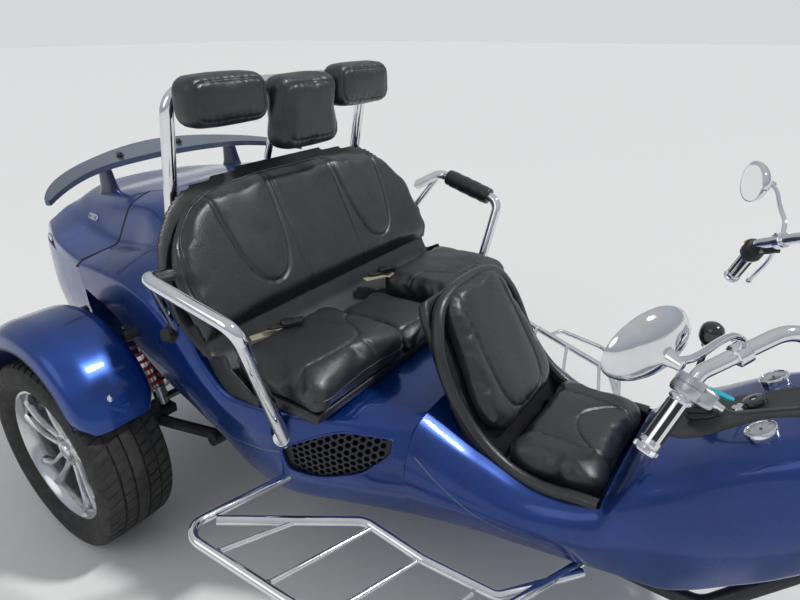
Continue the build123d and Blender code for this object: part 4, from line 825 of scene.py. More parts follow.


# Panel seams and trim of the flanks. The seam strips are painted highlight along the panel edges, and the
# dark strip under the low seam is painted shadow
for side, tag in SIDES:
    low_seam = dense([(-850, 452), (-698, 455), (-523, 470), (-440, 486)])
    strip(f"flank_seam_highlight_{tag}", low_seam, side, 4.0, 1.6, "chassis", seam_highlight_paint)
    strip(f"flank_shadow_{tag}", [(x, z - 5) for x, z in low_seam], side, 7.0, 0.6, "chassis", gloss_black)
    # Rolled lip round the intake and the vent
    for label, outline, width, lip_gap in (("intake", intake_outline, 7.0, 3.0),
                                           ("vent", vent_outline, 4.0, 2.0)):
        grown = []
        middle = np.mean(np.array(outline), axis=0)
        for x, z in outline:
            away = np.array([x, z]) - middle
            grown.append(tuple(middle + away * (1 + lip_gap / np.linalg.norm(away))))
        line = flank_line(grown + grown[:1], side, -0.5)
        tube(f"{label}_lip_{tag}", line[:-1], width / 2, "chassis", blue_paint, cyclic=True,
             sides=2)
    # Second panel's edge that sweeps down ahead of the intake, drawn as a strip of painted highlight
    strip(f"front_panel_seam_highlight_{tag}", dense([(-100, 520), (-30, 455), (60, 392), (170, 352), (300, 334)]),
          side, 3.0, 1.4, "chassis", seam_highlight_paint, front_skin)

# Seal that fills the gap between the deck and the lid, a little under the surface
seam_xs = np.linspace(-1280, -1177, 24)
section_rings = np.array(body_rings(REAR_STATIONS, REAR_ROUNDS, seam_xs, 0.010, 5))
crossing = []
for k in range(section_rings.shape[1]):
    track = section_rings[:, k]
    off = track[:, 0] - (SEAM_X + SEAM_RUN * (track[:, 2] - SEAM_Z) / SEAM_RISE)
    for r in range(len(seam_xs) - 1):
        if off[r] <= 0 < off[r + 1] and track[r, 2] > 843:
            share = off[r] / (off[r] - off[r + 1])
            crossing.append(track[r] + (track[r + 1] - track[r]) * share)
            break
crossing = [p for p in crossing if p[2] > 700]
crossing.sort(key=lambda p: math.atan2(p[2] - 700, p[1]))
rings = []
for k, here in enumerate(crossing):
    ahead = crossing[min(k + 1, len(crossing) - 1)] - crossing[max(k - 1, 0)]
    across = np.array([-1.0, 0, -0.25])
    normal = np.cross(ahead, across)
    normal /= np.linalg.norm(normal)
    normal *= 1 if normal[2] > -0.2 else -1
    middle = here + np.array([-4.3, 0, 0])
    rings.append([middle + across * u + normal * v for u, v in ((-4.6, -3), (4.6, -3), (4.6, 0.5),
                                                                (0, 1.2), (-4.6, 0.5))])
verts, faces = rings_to_mesh(rings, True, True, True)
piece("lid_seal", verts, faces, "chassis", black_rubber, "black_rubber", (), 60)

# Silver plate with two screws on the lid's shelf, right side
place, normal = land(lid, (-1458, -361, 1300), (0, 0, -1))
side_way = Vector((1.0, -0.11, 0.0))
side_way = (side_way - normal * side_way.dot(normal)).normalized()
other = normal.cross(side_way)
ring_low, ring_high, ring_top = [], [], []
for k in range(32):
    a = 2 * math.pi * k / 32
    c, s = math.cos(a), math.sin(a)
    end = 26 if c > 0 else -26
    spot = place + side_way * (end + 11 * c) + other * 11 * s
    ring_low.append(spot - normal * 2)
    ring_high.append(spot + normal * 2.0)
    ring_top.append(place + side_way * (end + 10 * c) + other * 10 * s + normal * 2.8)
verts, faces = rings_to_mesh([ring_low, ring_high, ring_top], True, True, True)
piece("lid_plate", verts, faces, "boot_lid", chrome, "chrome", (), 30)
for k in (-1, 1):
    screw(f"lid_plate_screw_{k + 1}", place + side_way * 22 * k + normal * 2.4, normal, 5.0, "boot_lid",
          steel_dark, "chrome")

# Padded parts
def cad_islands(node):
    """The separate solids of a CAD node as meshes in world space, from the right to the left."""
    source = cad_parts[node]
    bm = bmesh.new()
    bm.from_mesh(source.data)
    bm.transform(source.matrix_world)
    bmesh.ops.remove_doubles(bm, verts=bm.verts, dist=1e-5)
    bm.verts.ensure_lookup_table()
    seen, groups = set(), []
    for vert in bm.verts:
        if vert.index in seen:
            continue
        stack, group = [vert], []
        seen.add(vert.index)
        while stack:
            here = stack.pop()
            group.append(here.index)
            for edge in here.link_edges:
                there = edge.other_vert(here)
                if there.index not in seen:
                    seen.add(there.index)
                    stack.append(there)
        groups.append(set(group))
    meshes = []
    for group in groups:
        part = bm.copy()
        part.verts.ensure_lookup_table()
        bmesh.ops.delete(part, geom=[v for v in part.verts if v.index not in group], context="VERTS")
        mesh = bpy.data.meshes.new(node)
        part.to_mesh(mesh)
        part.free()
        meshes.append(mesh)
    bm.free()
    return sorted(meshes, key=lambda m: np.mean([v.co.y for v in m.vertices]))


def points_of(mesh):
    flat = np.empty(len(mesh.vertices) * 3)
    mesh.vertices.foreach_get("co", flat)
    return flat.reshape(-1, 3) / MM


def give_points(mesh, points):
    mesh.vertices.foreach_set("co", (points * MM).ravel())
    mesh.update()


def normals_of(mesh):
    flat = np.empty(len(mesh.vertices) * 3)
    mesh.vertex_normals.foreach_get("vector", flat)
    return flat.reshape(-1, 3)


def puffed(name, mesh, body, mat, node, voxel=8.0, shrink=5.0, cap=20.0, crown=None):
    """Inflates a pad's form as cloth. Its own crown, when given, moves the points first."""
    obj = bpy.data.objects.new(name, mesh)
    scene.collection.objects.link(obj)
    change = obj.modifiers.new("remesh", "REMESH")
    change.mode = "VOXEL"
    change.voxel_size = voxel * MM
    settle(obj)
    mesh = obj.data
    start = points_of(mesh)
    start -= normals_of(mesh) * shrink
    if crown is not None:
        start = crown(start)
    give_points(mesh, start)
    cloth = obj.modifiers.new("cloth", "CLOTH")
    cloth.settings.quality = 3
    cloth.settings.mass = 0.3
    cloth.settings.tension_stiffness = 12
    cloth.settings.compression_stiffness = 12
    cloth.settings.shear_stiffness = 6
    cloth.settings.bending_stiffness = 0.6
    cloth.settings.use_pressure = True
    cloth.settings.uniform_pressure_force = 4.0
    cloth.settings.effector_weights.gravity = 0.0
    cloth.collision_settings.use_collision = False
    cloth.collision_settings.use_self_collision = False
    cloth.point_cache.frame_start = 1
    cloth.point_cache.frame_end = 20
    for step in range(1, 21):
        scene.frame_set(step)
    done = obj.evaluated_get(bpy.context.evaluated_depsgraph_get())
    swollen = points_of(done.data)
    obj.modifiers.clear()
    moved = swollen - start
    length = np.linalg.norm(moved, axis=1, keepdims=True)
    give_points(mesh, start + moved * np.minimum(1.0, cap / np.maximum(length, 1e-6)))
    scene.frame_set(1)
    ease = obj.modifiers.new("ease", "SMOOTH")
    ease.factor = 0.5
    ease.iterations = 9
    finer = obj.modifiers.new("finer", "SUBSURF")
    finer.levels = 1
    finer.render_levels = 1
    settle(obj, 180)
    obj.data.name = name
    obj.data.materials.clear()
    obj.data.materials.append(mat)
    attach(obj, body)
    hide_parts(node)
    return obj


def far_from(points, line, closed=False):
    """Distance of plane points from a polyline."""
    line = np.array(line, float)
    if closed:
        line = np.vstack([line, line[:1]])
    best = np.full(len(points), 1e9)
    for a, b in zip(line[:-1], line[1:]):
        run = b - a
        share = np.clip(((points - a) @ run) / max(run @ run, 1e-9), 0, 1)
        best = np.minimum(best, np.linalg.norm(points - (a + share[:, None] * run), axis=1))
    return best


def within(points, outline):
    """Which plane points lie inside a closed outline."""
    inside = np.zeros(len(points), bool)
    n = len(outline)
    for k in range(n):
        (x1, y1), (x2, y2) = outline[k], outline[(k + 1) % n]
        crosses = (y1 > points[:, 1]) != (y2 > points[:, 1])
        if y1 != y2:
            inside ^= crosses & (points[:, 0] < (x2 - x1) * (points[:, 1] - y1) / (y2 - y1) + x1)
    return inside


def curve2(points, steps=10):
    """A smooth plane curve through points."""
    pts = [np.array(p, float) for p in points]
    pts = [2 * pts[0] - pts[1]] + pts + [2 * pts[-1] - pts[-2]]
    made = []
    for k in range(1, len(pts) - 2):
        for j in range(steps):
            t = j / steps
            made.append(0.5 * (2 * pts[k] + (pts[k + 1] - pts[k - 1]) * t
                               + (2 * pts[k - 1] - 5 * pts[k] + 4 * pts[k + 1] - pts[k + 2]) * t**2
                               + (3 * pts[k] - pts[k - 1] - 3 * pts[k + 1] + pts[k + 2]) * t**3))
    made.append(pts[-2])
    return np.array(made)


class Face:
    """The plane that a pad's seams are drawn on: origin, across, up and out of the face."""

    def __init__(self, origin, across, up):
        self.origin = np.array(origin, float)
        self.across = np.array(across, float) / np.linalg.norm(across)
        self.up = np.array(up, float) / np.linalg.norm(up)
        self.out = np.cross(self.across, self.up)

    def flat(self, points):
        rel = points - self.origin
        return np.stack([rel @ self.across, rel @ self.up], axis=1)

    def depth(self, points):
        return (points - self.origin) @ self.out

    def place(self, u, v, depth=0.0):
        return self.origin + self.across * u + self.up * v + self.out * depth


def sew(obj, face, seams, holes=(), crowns=(), depth=4.5, width=4.5, wrinkle=1.2, seed=3):
    """Presses seams into a pad's face, raises crowns between them and marks its punched panels."""
    mesh = obj.data
    pts = points_of(mesh)
    normal = normals_of(mesh)
    front = np.clip((normal @ face.out - 0.15) / 0.35, 0, 1)
    plane = face.flat(pts)
    lift = np.zeros(len(pts))
    for outline, height, reach in crowns:
        edge = far_from(plane, outline, True)
        lift += np.where(within(plane, outline), height * (1 - np.exp(-edge / reach)), 0)
    near = np.full(len(pts), 1e9)
    for line in seams:
        near = np.minimum(near, far_from(plane, line))
    lift -= depth * np.exp(-(near / width) ** 2)
    # Short puckers that run into the seams, and slow waves of a used cover
    rows = np.random.default_rng(seed).uniform(-1, 1, (6, 4))
    for a, b, c, d in rows:
        wave = np.sin(plane[:, 0] * (0.055 + 0.03 * a) + plane[:, 1] * (0.05 * b) + 6 * c)
        lift += wrinkle * 0.35 * d * wave
    for a, b, c, d in rows[:3]:
        pucker = np.sin(plane[:, 0] * (0.24 + 0.06 * a) + plane[:, 1] * (0.22 * b) + 6 * c)
        lift += wrinkle * 0.5 * d * pucker * np.exp(-(near / 22) ** 2)
    pts = pts + face.out * (lift * front)[:, None]
    give_points(mesh, pts)
    perf = np.zeros(len(pts))
    for outline in holes:
        edge = far_from(plane, outline, True)
        perf = np.maximum(perf, np.where(within(plane, outline), np.clip((edge - 5) / 3, 0, 1), 0))
    perf *= np.clip((normal @ face.out - 0.35) / 0.2, 0, 1)
    layer = mesh.attributes.new("perf", "FLOAT", "POINT")
    layer.data.foreach_set("value", perf)
    layer = mesh.attributes.new("pattern", "FLOAT_VECTOR", "POINT")
    layer.data.foreach_set("vector", np.concatenate([plane * MM, np.zeros((len(pts), 1))], axis=1).ravel())
    mesh.update()


def on_pad(obj, face, line, lift=0.0, reach=150.0):
    """A plane line carried to the pad's face."""
    found = []
    for u, v in line:
        place, normal = land(obj, face.place(u, v, reach), tuple(-face.out))
        if place is not None:
            found.append(np.array(place + normal * lift))
    for _ in range(3):
        found = [found[0]] + [(found[k - 1] + 2 * found[k] + found[k + 1]) / 4
                              for k in range(1, len(found) - 1)] + [found[-1]] \
            if len(found) > 2 else found
    return found


def thread(name, obj, face, line, body="chassis", radius=0.9, mat=None, lift=0.4):
    """Stitching along a seam: short raised stitches, as one mesh."""
    path = on_pad(obj, face, line, lift)
    if len(path) < 3:
        return
    walk = np.array([tuple(p) for p in path])
    lengths = np.concatenate([[0], np.cumsum(np.linalg.norm(np.diff(walk, axis=0), axis=1))])
    verts, faces = [], []
    at = 0.0
    while at + 5.0 < lengths[-1]:
        ends = [np.array([np.interp(s, lengths, walk[:, i]) for i in range(3)])
                for s in (at, at + 2.5, at + 5.0)]
        ends[1] = ends[1] + face.out * 0.5
        run = ends[2] - ends[0]
        side = np.cross(run, face.out)
        side = side / max(np.linalg.norm(side), 1e-9)
        base = len(verts)
        for end in ends:
            for c, s in ((1, 0), (0, 1), (-1, 0), (0, -1)):
                verts.append(end + side * radius * c + face.out * radius * s)
        for r in (0, 4):
            for k in range(4):
                faces.append((base + r + k, base + r + (k + 1) % 4, base + r + 4 + (k + 1) % 4,
                              base + r + 4 + k))
        faces.append(tuple(base + k for k in (3, 2, 1, 0)))
        faces.append(tuple(base + 8 + k for k in range(4)))
        at += 7.0
    piece(name, verts, faces, body, mat or thread_grey, None, (), 60)


def piping(name, obj, face, line, radius, body, mat, lift=0.0, closed=False):
    """A sewn-in cord along a pad's edge."""
    path = on_pad(obj, face, line, lift)
    if len(path) > 2:
        tube(name, path, radius, body, mat, sides=2, cyclic=closed)


# Passengers' bench. Back: seam tables in the plane of its face, across and up from the crease
back_up = np.array([-185.0, 0, 368.0]) / math.hypot(185, 368)
back_face = Face((-608, 0, 790), (0, 1, 0), tuple(back_up))


def back_crown(pts):
    """The back's cushion is thickest at mid height and thins to its outer roll."""
    plane = back_face.flat(pts)
    depth = back_face.depth(pts)
    share = np.clip((depth + 70) / 70, 0, 1)
    swell = 10 * np.exp(-((plane[:, 1] - 190) / 190) ** 2)
    swell *= np.clip(1 - (np.abs(plane[:, 0]) / 560) ** 4, 0, 1)
    hollow = -7 * np.exp(-(plane[:, 0] / 40) ** 2) * np.clip((plane[:, 1] - 60) / 200, 0, 1)
    return pts + back_face.out * ((swell + hollow - 4) * share)[:, None]


bench_back = puffed("bench_back_cover", cad_islands("bench_back")[0], "chassis", vinyl,
                    "bench_back", 10.0, 5.0, 24.0, back_crown)
pts = points_of(bench_back.data)
depth = back_face.depth(pts)
pts += back_face.out * np.clip(-69.5 - depth, 0, None)[:, None]
give_points(bench_back.data, pts)
seams, holes, crowns = [], [], []
for s in (-1, 1):
    u_leg = curve2([(s * 150, 405), (s * 158, 300), (s * 176, 180), (s * 208, 105), (s * 258, 80),
                    (s * 312, 104), (s * 348, 180), (s * 366, 290), (s * 373, 398)])
    inner = curve2([(s * 136, 418), (s * 135, 300), (s * 133, 120), (s * 132, 4)])
    outer_roll = curve2([(s * 500, -20), (s * 533, 90), (s * 520, 240), (s * 440, 340), (s * 380, 396)])
    seams += [u_leg, inner, outer_roll]
    holes.append([tuple(p) for p in inner] + [tuple(p) for p in outer_roll] + [(s * 376, 404)])
    crowns.append(([tuple(p) for p in u_leg], 7.0, 34.0))
centre_panel = [(-134, 414), (134, 414), (132, 4), (-132, 4)]
holes.append(centre_panel)
u_zones = [c[0] for c in crowns]
sew(bench_back, back_face, seams, holes, crowns, 5.0, 5.0)
# The U inserts are smooth leathercloth
plane = back_face.flat(points_of(bench_back.data))
layer = bench_back.data.attributes["perf"]
perf = np.empty(len(plane))
layer.data.foreach_get("value", perf)
for zone in u_zones:
    perf[within(plane, zone)] = 0.0
layer.data.foreach_set("value", perf)
for k, line in enumerate(seams):
    thread(f"back_stitch_{k}", bench_back, back_face, line + np.array([2.5 * np.sign(line[0][0]), 0]))

# Piped edge of the back, along the outer roll and over the top
edge_points = []
for s in (-1, 1):
    run = curve2([(s * 505, -24), (s * 530, 90), (s * 526, 195), (s * 500, 275), (s * 452, 336),
                  (s * 384, 374), (s * 290, 396), (s * 165, 405), (0, 406)])
    edge_points.append(run if s == -1 else run[::-1][1:])
piping("back_piping", bench_back, back_face, np.vstack(edge_points), 2.6, "chassis", vinyl_plain, lift=0.2)

# Cushions: right, centre, left
cushion_tops = []
for mesh, (tag, low_y, high_y, top) in zip(cad_islands("bench_cushions"),
                                           [("right", -535, -130, 750), ("centre", -130, 130, 698),
                                            ("left", 130, 535, 750)]):
    middle = (low_y + high_y) / 2

    def cushion_crown(pts, middle=middle, half=(high_y - low_y) / 2, top=top):
        along = (pts[:, 0] + 433) / 165
        over = (pts[:, 1] - middle) / half
        up = np.clip((pts[:, 2] - (top - 60)) / 60, 0, 1)
        nose = -24 * np.clip((pts[:, 0] + 330) / 62, 0, 1) ** 2
        rise = 8 * (1 - np.clip(over, -1, 1) ** 4) + 4 * np.exp(-((along - 0.3) / 0.6) ** 2)
        pulled = pts.copy()
        pulled[:, 2] += (rise + nose - 6) * up
        return pulled

    pad = puffed(f"bench_cushion_{tag}", mesh, "chassis", vinyl, "bench_cushions", 7.5, 5.0,
                 18.0, cushion_crown)
    pts = points_of(pad.data)
    pts[:, 2] = np.maximum(pts[:, 2], 655.2)
    gap = 0.6
    pts[:, 1] = np.clip(pts[:, 1], -533 if tag == "right" else low_y + gap,
                        533 if tag == "left" else high_y - gap)
    pts[:, 0] = np.clip(pts[:, 0], -597.5, -258)
    give_points(pad.data, pts)
    top_face = Face((-433, middle, top), (0, 1, 0), (-1, 0, 0))
    half = (high_y - low_y) / 2
    if tag == "centre":
        bolster = curve2([(-half, -95), (0, -108), (half, -95)])
        seams = [bolster]
        holes = [[(-half + 18, -90), (half - 18, -90), (half - 18, 150), (-half + 18, 150)]]
        crowns = [([(-half + 14, -96), (half - 14, -96), (half - 14, 160), (-half + 14, 160)], 4.0, 30.0)]
    else:
        inner_side = 1 if tag == "right" else -1
        bolster = curve2([(-inner_side * half, -64), (-inner_side * 110, -86), (0, -92),
                          (inner_side * 60, -78), (inner_side * 92, -30), (inner_side * 122, 20),
                          (inner_side * half, 46)])
        side_seam = curve2([(inner_side * 30, -88), (inner_side * 46, -120), (inner_side * 58, -160)])
        seams = [bolster, side_seam]
        zone = [(-inner_side * (half - 14), -70), (-inner_side * 110, -84), (0, -88),
                (inner_side * 56, -72), (inner_side * 88, -24), (inner_side * 118, 26),
                (inner_side * (half - 18), 50), (inner_side * (half - 18), 150),
                (-inner_side * (half - 14), 150)]
        holes = [zone]
        crowns = [(zone, 4.0, 34.0)]
    sew(pad, top_face, seams, holes, crowns, 4.0, 4.5, 1.0, 5)
    for k, line in enumerate(seams):
        thread(f"cushion_stitch_{tag}_{k}", pad, top_face, line + np.array([0, -3.0]), radius=0.9)
    # Piping across the front, low on the nose
    run = []
    for u in np.linspace(-half + 14, half - 14, 40):
        place, normal = land(pad, (-100, middle + u, top - 52), (-1, 0, 0))
        if place is not None:
            run.append(place + normal * 0.6)
    if len(run) > 3:
        tube(f"cushion_piping_{tag}", run, 2.6, "chassis", vinyl_plain, sides=2)
    cushion_tops.append(pad)

# Headrests: fat rolls with a stitched, perforated panel on the face
for mesh, (tag, mid_y, mid_z, wide, high, mid_x) in zip(
        cad_islands("headrests"), [("right", -291, 1364, 278, 133, -783),
                                   ("centre", 0, 1307, 262, 215, -768),
                                   ("left", 291, 1364, 278, 133, -783)]):
    pad = puffed(f"headrest_{tag}", mesh, "chassis", vinyl, "headrests", 7.0, 0.5, 9.0)
    pts = points_of(pad.data)
    pts[:, 0] = np.maximum(pts[:, 0], mid_x - 46 - 6)
    give_points(pad.data, pts)
    face = Face((mid_x + 46, mid_y, mid_z), (0, 1, 0), (0, 0, 1))
    ring = [(wide * 0.5 * math.copysign(abs(math.cos(a)) ** 0.35, math.cos(a)) * 0.85,
             high * 0.5 * math.copysign(abs(math.sin(a)) ** 0.35, math.sin(a)) * 0.76)
            for a in np.linspace(0, 2 * math.pi, 72, endpoint=False)]
    sew(pad, face, [np.vstack([ring, ring[:1]])], [[(u * 0.97, v * 0.95) for u, v in ring]], [], 3.0, 4.0,
        1.0, 9)
    thread(f"headrest_stitch_{tag}", pad, face, [(u * 0.985, v * 0.975) for u, v in ring + ring[:1]])

# Driver's seat: back pad and cushion
driver_up = np.array([-234.0, 0, 387.0]) / math.hypot(234, 387)
driver_face = Face((74, 0, 516), (0, 1, 0), tuple(driver_up))
driver_parts = cad_islands("driver_pads")
driver_parts.sort(key=lambda m: max(v.co.z for v in m.vertices), reverse=True)
pad = puffed("driver_back_pad", driver_parts[0], "chassis", vinyl, "driver_pads", 8.0, 3.0,
             16.0,
             lambda pts: pts - driver_up * (np.clip((200 - driver_face.flat(pts)[:, 1]) / 166, 0, 1)
                                            * 26)[:, None])
pts = points_of(pad.data)
depth = driver_face.depth(pts)
pts += driver_face.out * np.clip(-44.5 - depth, 0, None)[:, None]
pts[:, 1] = np.clip(pts[:, 1], -214.5, 214.5)
give_points(pad.data, pts)
seams = [curve2([(s * 108, 446), (s * 116, 300), (s * 118, 160), (s * 100, 84), (s * 54, 52), (0, 45)])
         for s in (-1, 1)]
outline = np.vstack([seams[0], seams[1][::-1]])
rim = curve2([(-188, 60), (-190, 170), (-172, 330), (-138, 420), (-80, 445), (0, 448), (80, 445),
              (138, 420), (172, 330), (190, 170), (188, 60)])
sew(pad, driver_face, seams + [rim], [[tuple(p) for p in outline]],
    [([tuple(p) for p in outline], 5.0, 30.0)], 4.2, 4.5, 1.0, 11)
for k, line in enumerate(seams + [rim]):
    thread(f"driver_stitch_{k}", pad, driver_face, line * np.array([1.02, 1.0]))

pad = puffed("driver_cushion_pad", driver_parts[1], "chassis", vinyl, "driver_pads", 7.0,
             2.0, 16.0,
             lambda pts: pts + np.stack([np.zeros(len(pts)), np.zeros(len(pts)),
                                         np.clip((pts[:, 2] - 480) / 40, 0, 1)
                                         * (6 - 16 * np.clip((pts[:, 0] - 255) / 80, 0, 1) ** 2)], axis=1))
pts = points_of(pad.data)
pts[:, 2] = np.maximum(pts[:, 2], 445.5)
pts[:, 1] = np.clip(pts[:, 1], -214.5, 214.5)
give_points(pad.data, pts)
cushion_face = Face((205, 0, 530), (0, 1, 0), (-1, 0, 0))
shield = curve2([(-116, -80), (-86, -40), (-46, -8), (0, 4), (46, -8), (86, -40), (116, -80)])
seams = [shield] + [curve2([(s * 120, 128), (s * 119, 40), (s * 116, -60), (s * 108, -126)])
                    for s in (-1, 1)]
zone = [(-116, 124), (-115, 40), (-112, -72), (-84, -34), (-45, -2), (0, 10), (45, -2), (84, -34),
        (112, -72), (115, 40), (116, 124)]
sew(pad, cushion_face, seams, [zone], [(zone, 4.0, 28.0)], 4.0, 4.5, 1.0, 13)
for k, line in enumerate(seams):
    thread(f"driver_cushion_stitch_{k}", pad, cushion_face, line + np.array([0, -3.0]))

# Pad on the left arm tube: a rolled sleeve with gathered ends
sleeve_from, sleeve_to = np.array([-671.0, 677, 996]), np.array([-394.0, 653, 926])
sleeve_way = unit(sleeve_to - sleeve_from)
sleeve_start = sleeve_from + (sleeve_to - sleeve_from) * 0.14
profile = [(0, 19), (0.5, 24), (3, 29.5), (9, 31.5), (14, 30.4), (22, 31.8)]
profile += [(22 + 160 * t, 31.8 + 0.7 * math.sin(t * 21) + 0.8 * math.sin(math.pi * t))
            for t in np.linspace(0.04, 1, 34)]
profile += [(190, 30.4), (195, 31.5), (201, 29.5), (203.5, 24), (204, 19)]
sleeve = lathe("arm_sleeve", profile, sleeve_start, sleeve_way, "chassis", vinyl_plain, 40,
               slot="black_vinyl", replaces=["arm_pad"], sharp=60)


# Moulded seat shells
def moulded(name, node, body, mat, voxel, rounds):
    """A wrapped shell: the CAD form remeshed and eased into rounded edges."""
    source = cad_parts[node]
    mesh = source.data.copy()
    mesh.transform(source.matrix_world)
    obj = bpy.data.objects.new(name, mesh)
    scene.collection.objects.link(obj)
    change = obj.modifiers.new("remesh", "REMESH")
    change.mode = "VOXEL"
    change.voxel_size = voxel * MM
    ease = obj.modifiers.new("ease", "SMOOTH")
    ease.factor = 0.5
    ease.iterations = rounds
    thin = obj.modifiers.new("thin", "DECIMATE")
    thin.ratio = 0.40
    settle(obj, 180)
    obj.data.materials.clear()
    obj.data.materials.append(mat)
    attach(obj, body)
    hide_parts(node)
    return obj


moulded("driver_bucket", "driver_shell", "chassis", shell_black, 5.0, 14)
moulded("bench_bucket", "bench_shell", "chassis", shell_black, 5.0, 26)
# Rolled edge of the driver's bucket, from the front lip over the back and down the other side
edge = [(338, 486), (296, 487), (208, 467), (108, 482), (14, 540), (-66, 638), (-114, 744)]
route = [(x, -235, z) for x, z in edge] + [(-138, -210, 803), (-160, -166, 856), (-170, -90, 874),
                                           (-171, 0, 877), (-170, 90, 874), (-160, 166, 856),
                                           (-138, 210, 803)]
route += [(x, 235, z) for x, z in reversed(edge)]
tube("driver_rolled_edge", route, 18.0, "chassis", vinyl_plain, smooth=True, sides=5)
for side, tag in SIDES:
    line = [(x + 2, side * 252.0, z - 12) for x, z in edge]
    tube(f"driver_edge_seam_{tag}", line, 1.2, "chassis", thread_grey, smooth=True, sides=1)

# Wheels
def wheel_point(centre, side, across, radius, angle):
    """A point of a wheel: across is outward from its middle plane."""
    return (centre[0] + radius * math.sin(angle), centre[1] + side * across,
            centre[2] + radius * math.cos(angle))


def tyre(name, centre, side, body, node, outer, rim, width, pitches, grooves, shoulder, slot_depth=4.5,
         lean=0.12):
    """A tyre with long grooves and slanted slots. Its columns follow the slots' slant."""
    half = width / 2
    rows = [(-0.76, rim + 1, 0), (-0.84, rim + 9, 0), (-0.93, rim + 22, 0),
            (-0.985, rim + 0.40 * (outer - rim), 0), (-1.0, rim + 0.52 * (outer - rim), 0),
            (-0.985, rim + 0.68 * (outer - rim), 0), (-0.95, rim + 0.82 * (outer - rim), 0),
            (-0.91, outer - 9, 0.5), (-shoulder - 0.03, outer - 3.5, 1)]
    crown = lambda share: outer - 3.5 * (share / shoulder) ** 2
    marks = [-shoulder]
    for g in grooves:
        e = 4.0 / half
        marks += [g - e, g - 0.75 * e, g + 0.75 * e, g + e]
    marks.append(shoulder)
    for k, m in enumerate(marks):
        inner = k > 0 and (k - 1) % 4 in (1, 2) and k < len(marks) - 1
        rows.append((m, crown(m) - (6.5 if inner else 0), 0 if inner else 1))
    rows += [(-a, r, m) for a, r, m in rows[8::-1]]
    # Columns within each pitch: the slots sink at the third and the fourth
    shares = [0.0, 0.05, 0.09, 0.30, 0.34, 0.62]
    verts, faces = [], []
    count = pitches * len(shares)
    for across, radius, slotted in rows:
        for p in range(pitches):
            for j, share in enumerate(shares):
                wavy = 0.5 * math.sin(p * 2.399)
                angle = 2 * math.pi * (p + share + 0.06 * wavy) / pitches
                angle += lean * (abs(across) ** 1.4) * (1 if across > 0 else -1)
                sunk = slotted * slot_depth if j in (2, 3) and abs(across) > 0.16 else 0.0
                verts.append(wheel_point(centre, side, across * half, radius - sunk, angle))
    for r in range(len(rows) - 1):
        for k in range(count):
            n = (k + 1) % count
            faces.append((r * count + k, r * count + n, (r + 1) * count + n, (r + 1) * count + k))
    last = (len(rows) - 1) * count
    for k in range(count):
        n = (k + 1) % count
        faces.append((last + k, last + n, n, k))
    return piece(name, verts, faces, body, tyre_rubber, "tyre_rubber", [node], 28)


def ring_profile(name, rows, centre, side, body, mat, slot, replaces=(), steps=96, closed=True, sharp=35):
    """A lathe about the wheel's axis from (across, radius) rows."""
    rings = [[wheel_point(centre, side, a, r, 2 * math.pi * k / steps) for k in range(steps)]
             for a, r in rows]
    verts, faces = rings_to_mesh(rings)
    if closed:
        last = (len(rows) - 1) * steps
        faces += [(last + k, last + (k + 1) % steps, (k + 1) % steps, k) for k in range(steps)]
    else:
        faces.append(tuple(range(steps))[::-1])
        faces.append(tuple((len(rows) - 1) * steps + k for k in range(steps)))
    return piece(name, verts, faces, body, mat, slot, replaces, sharp)


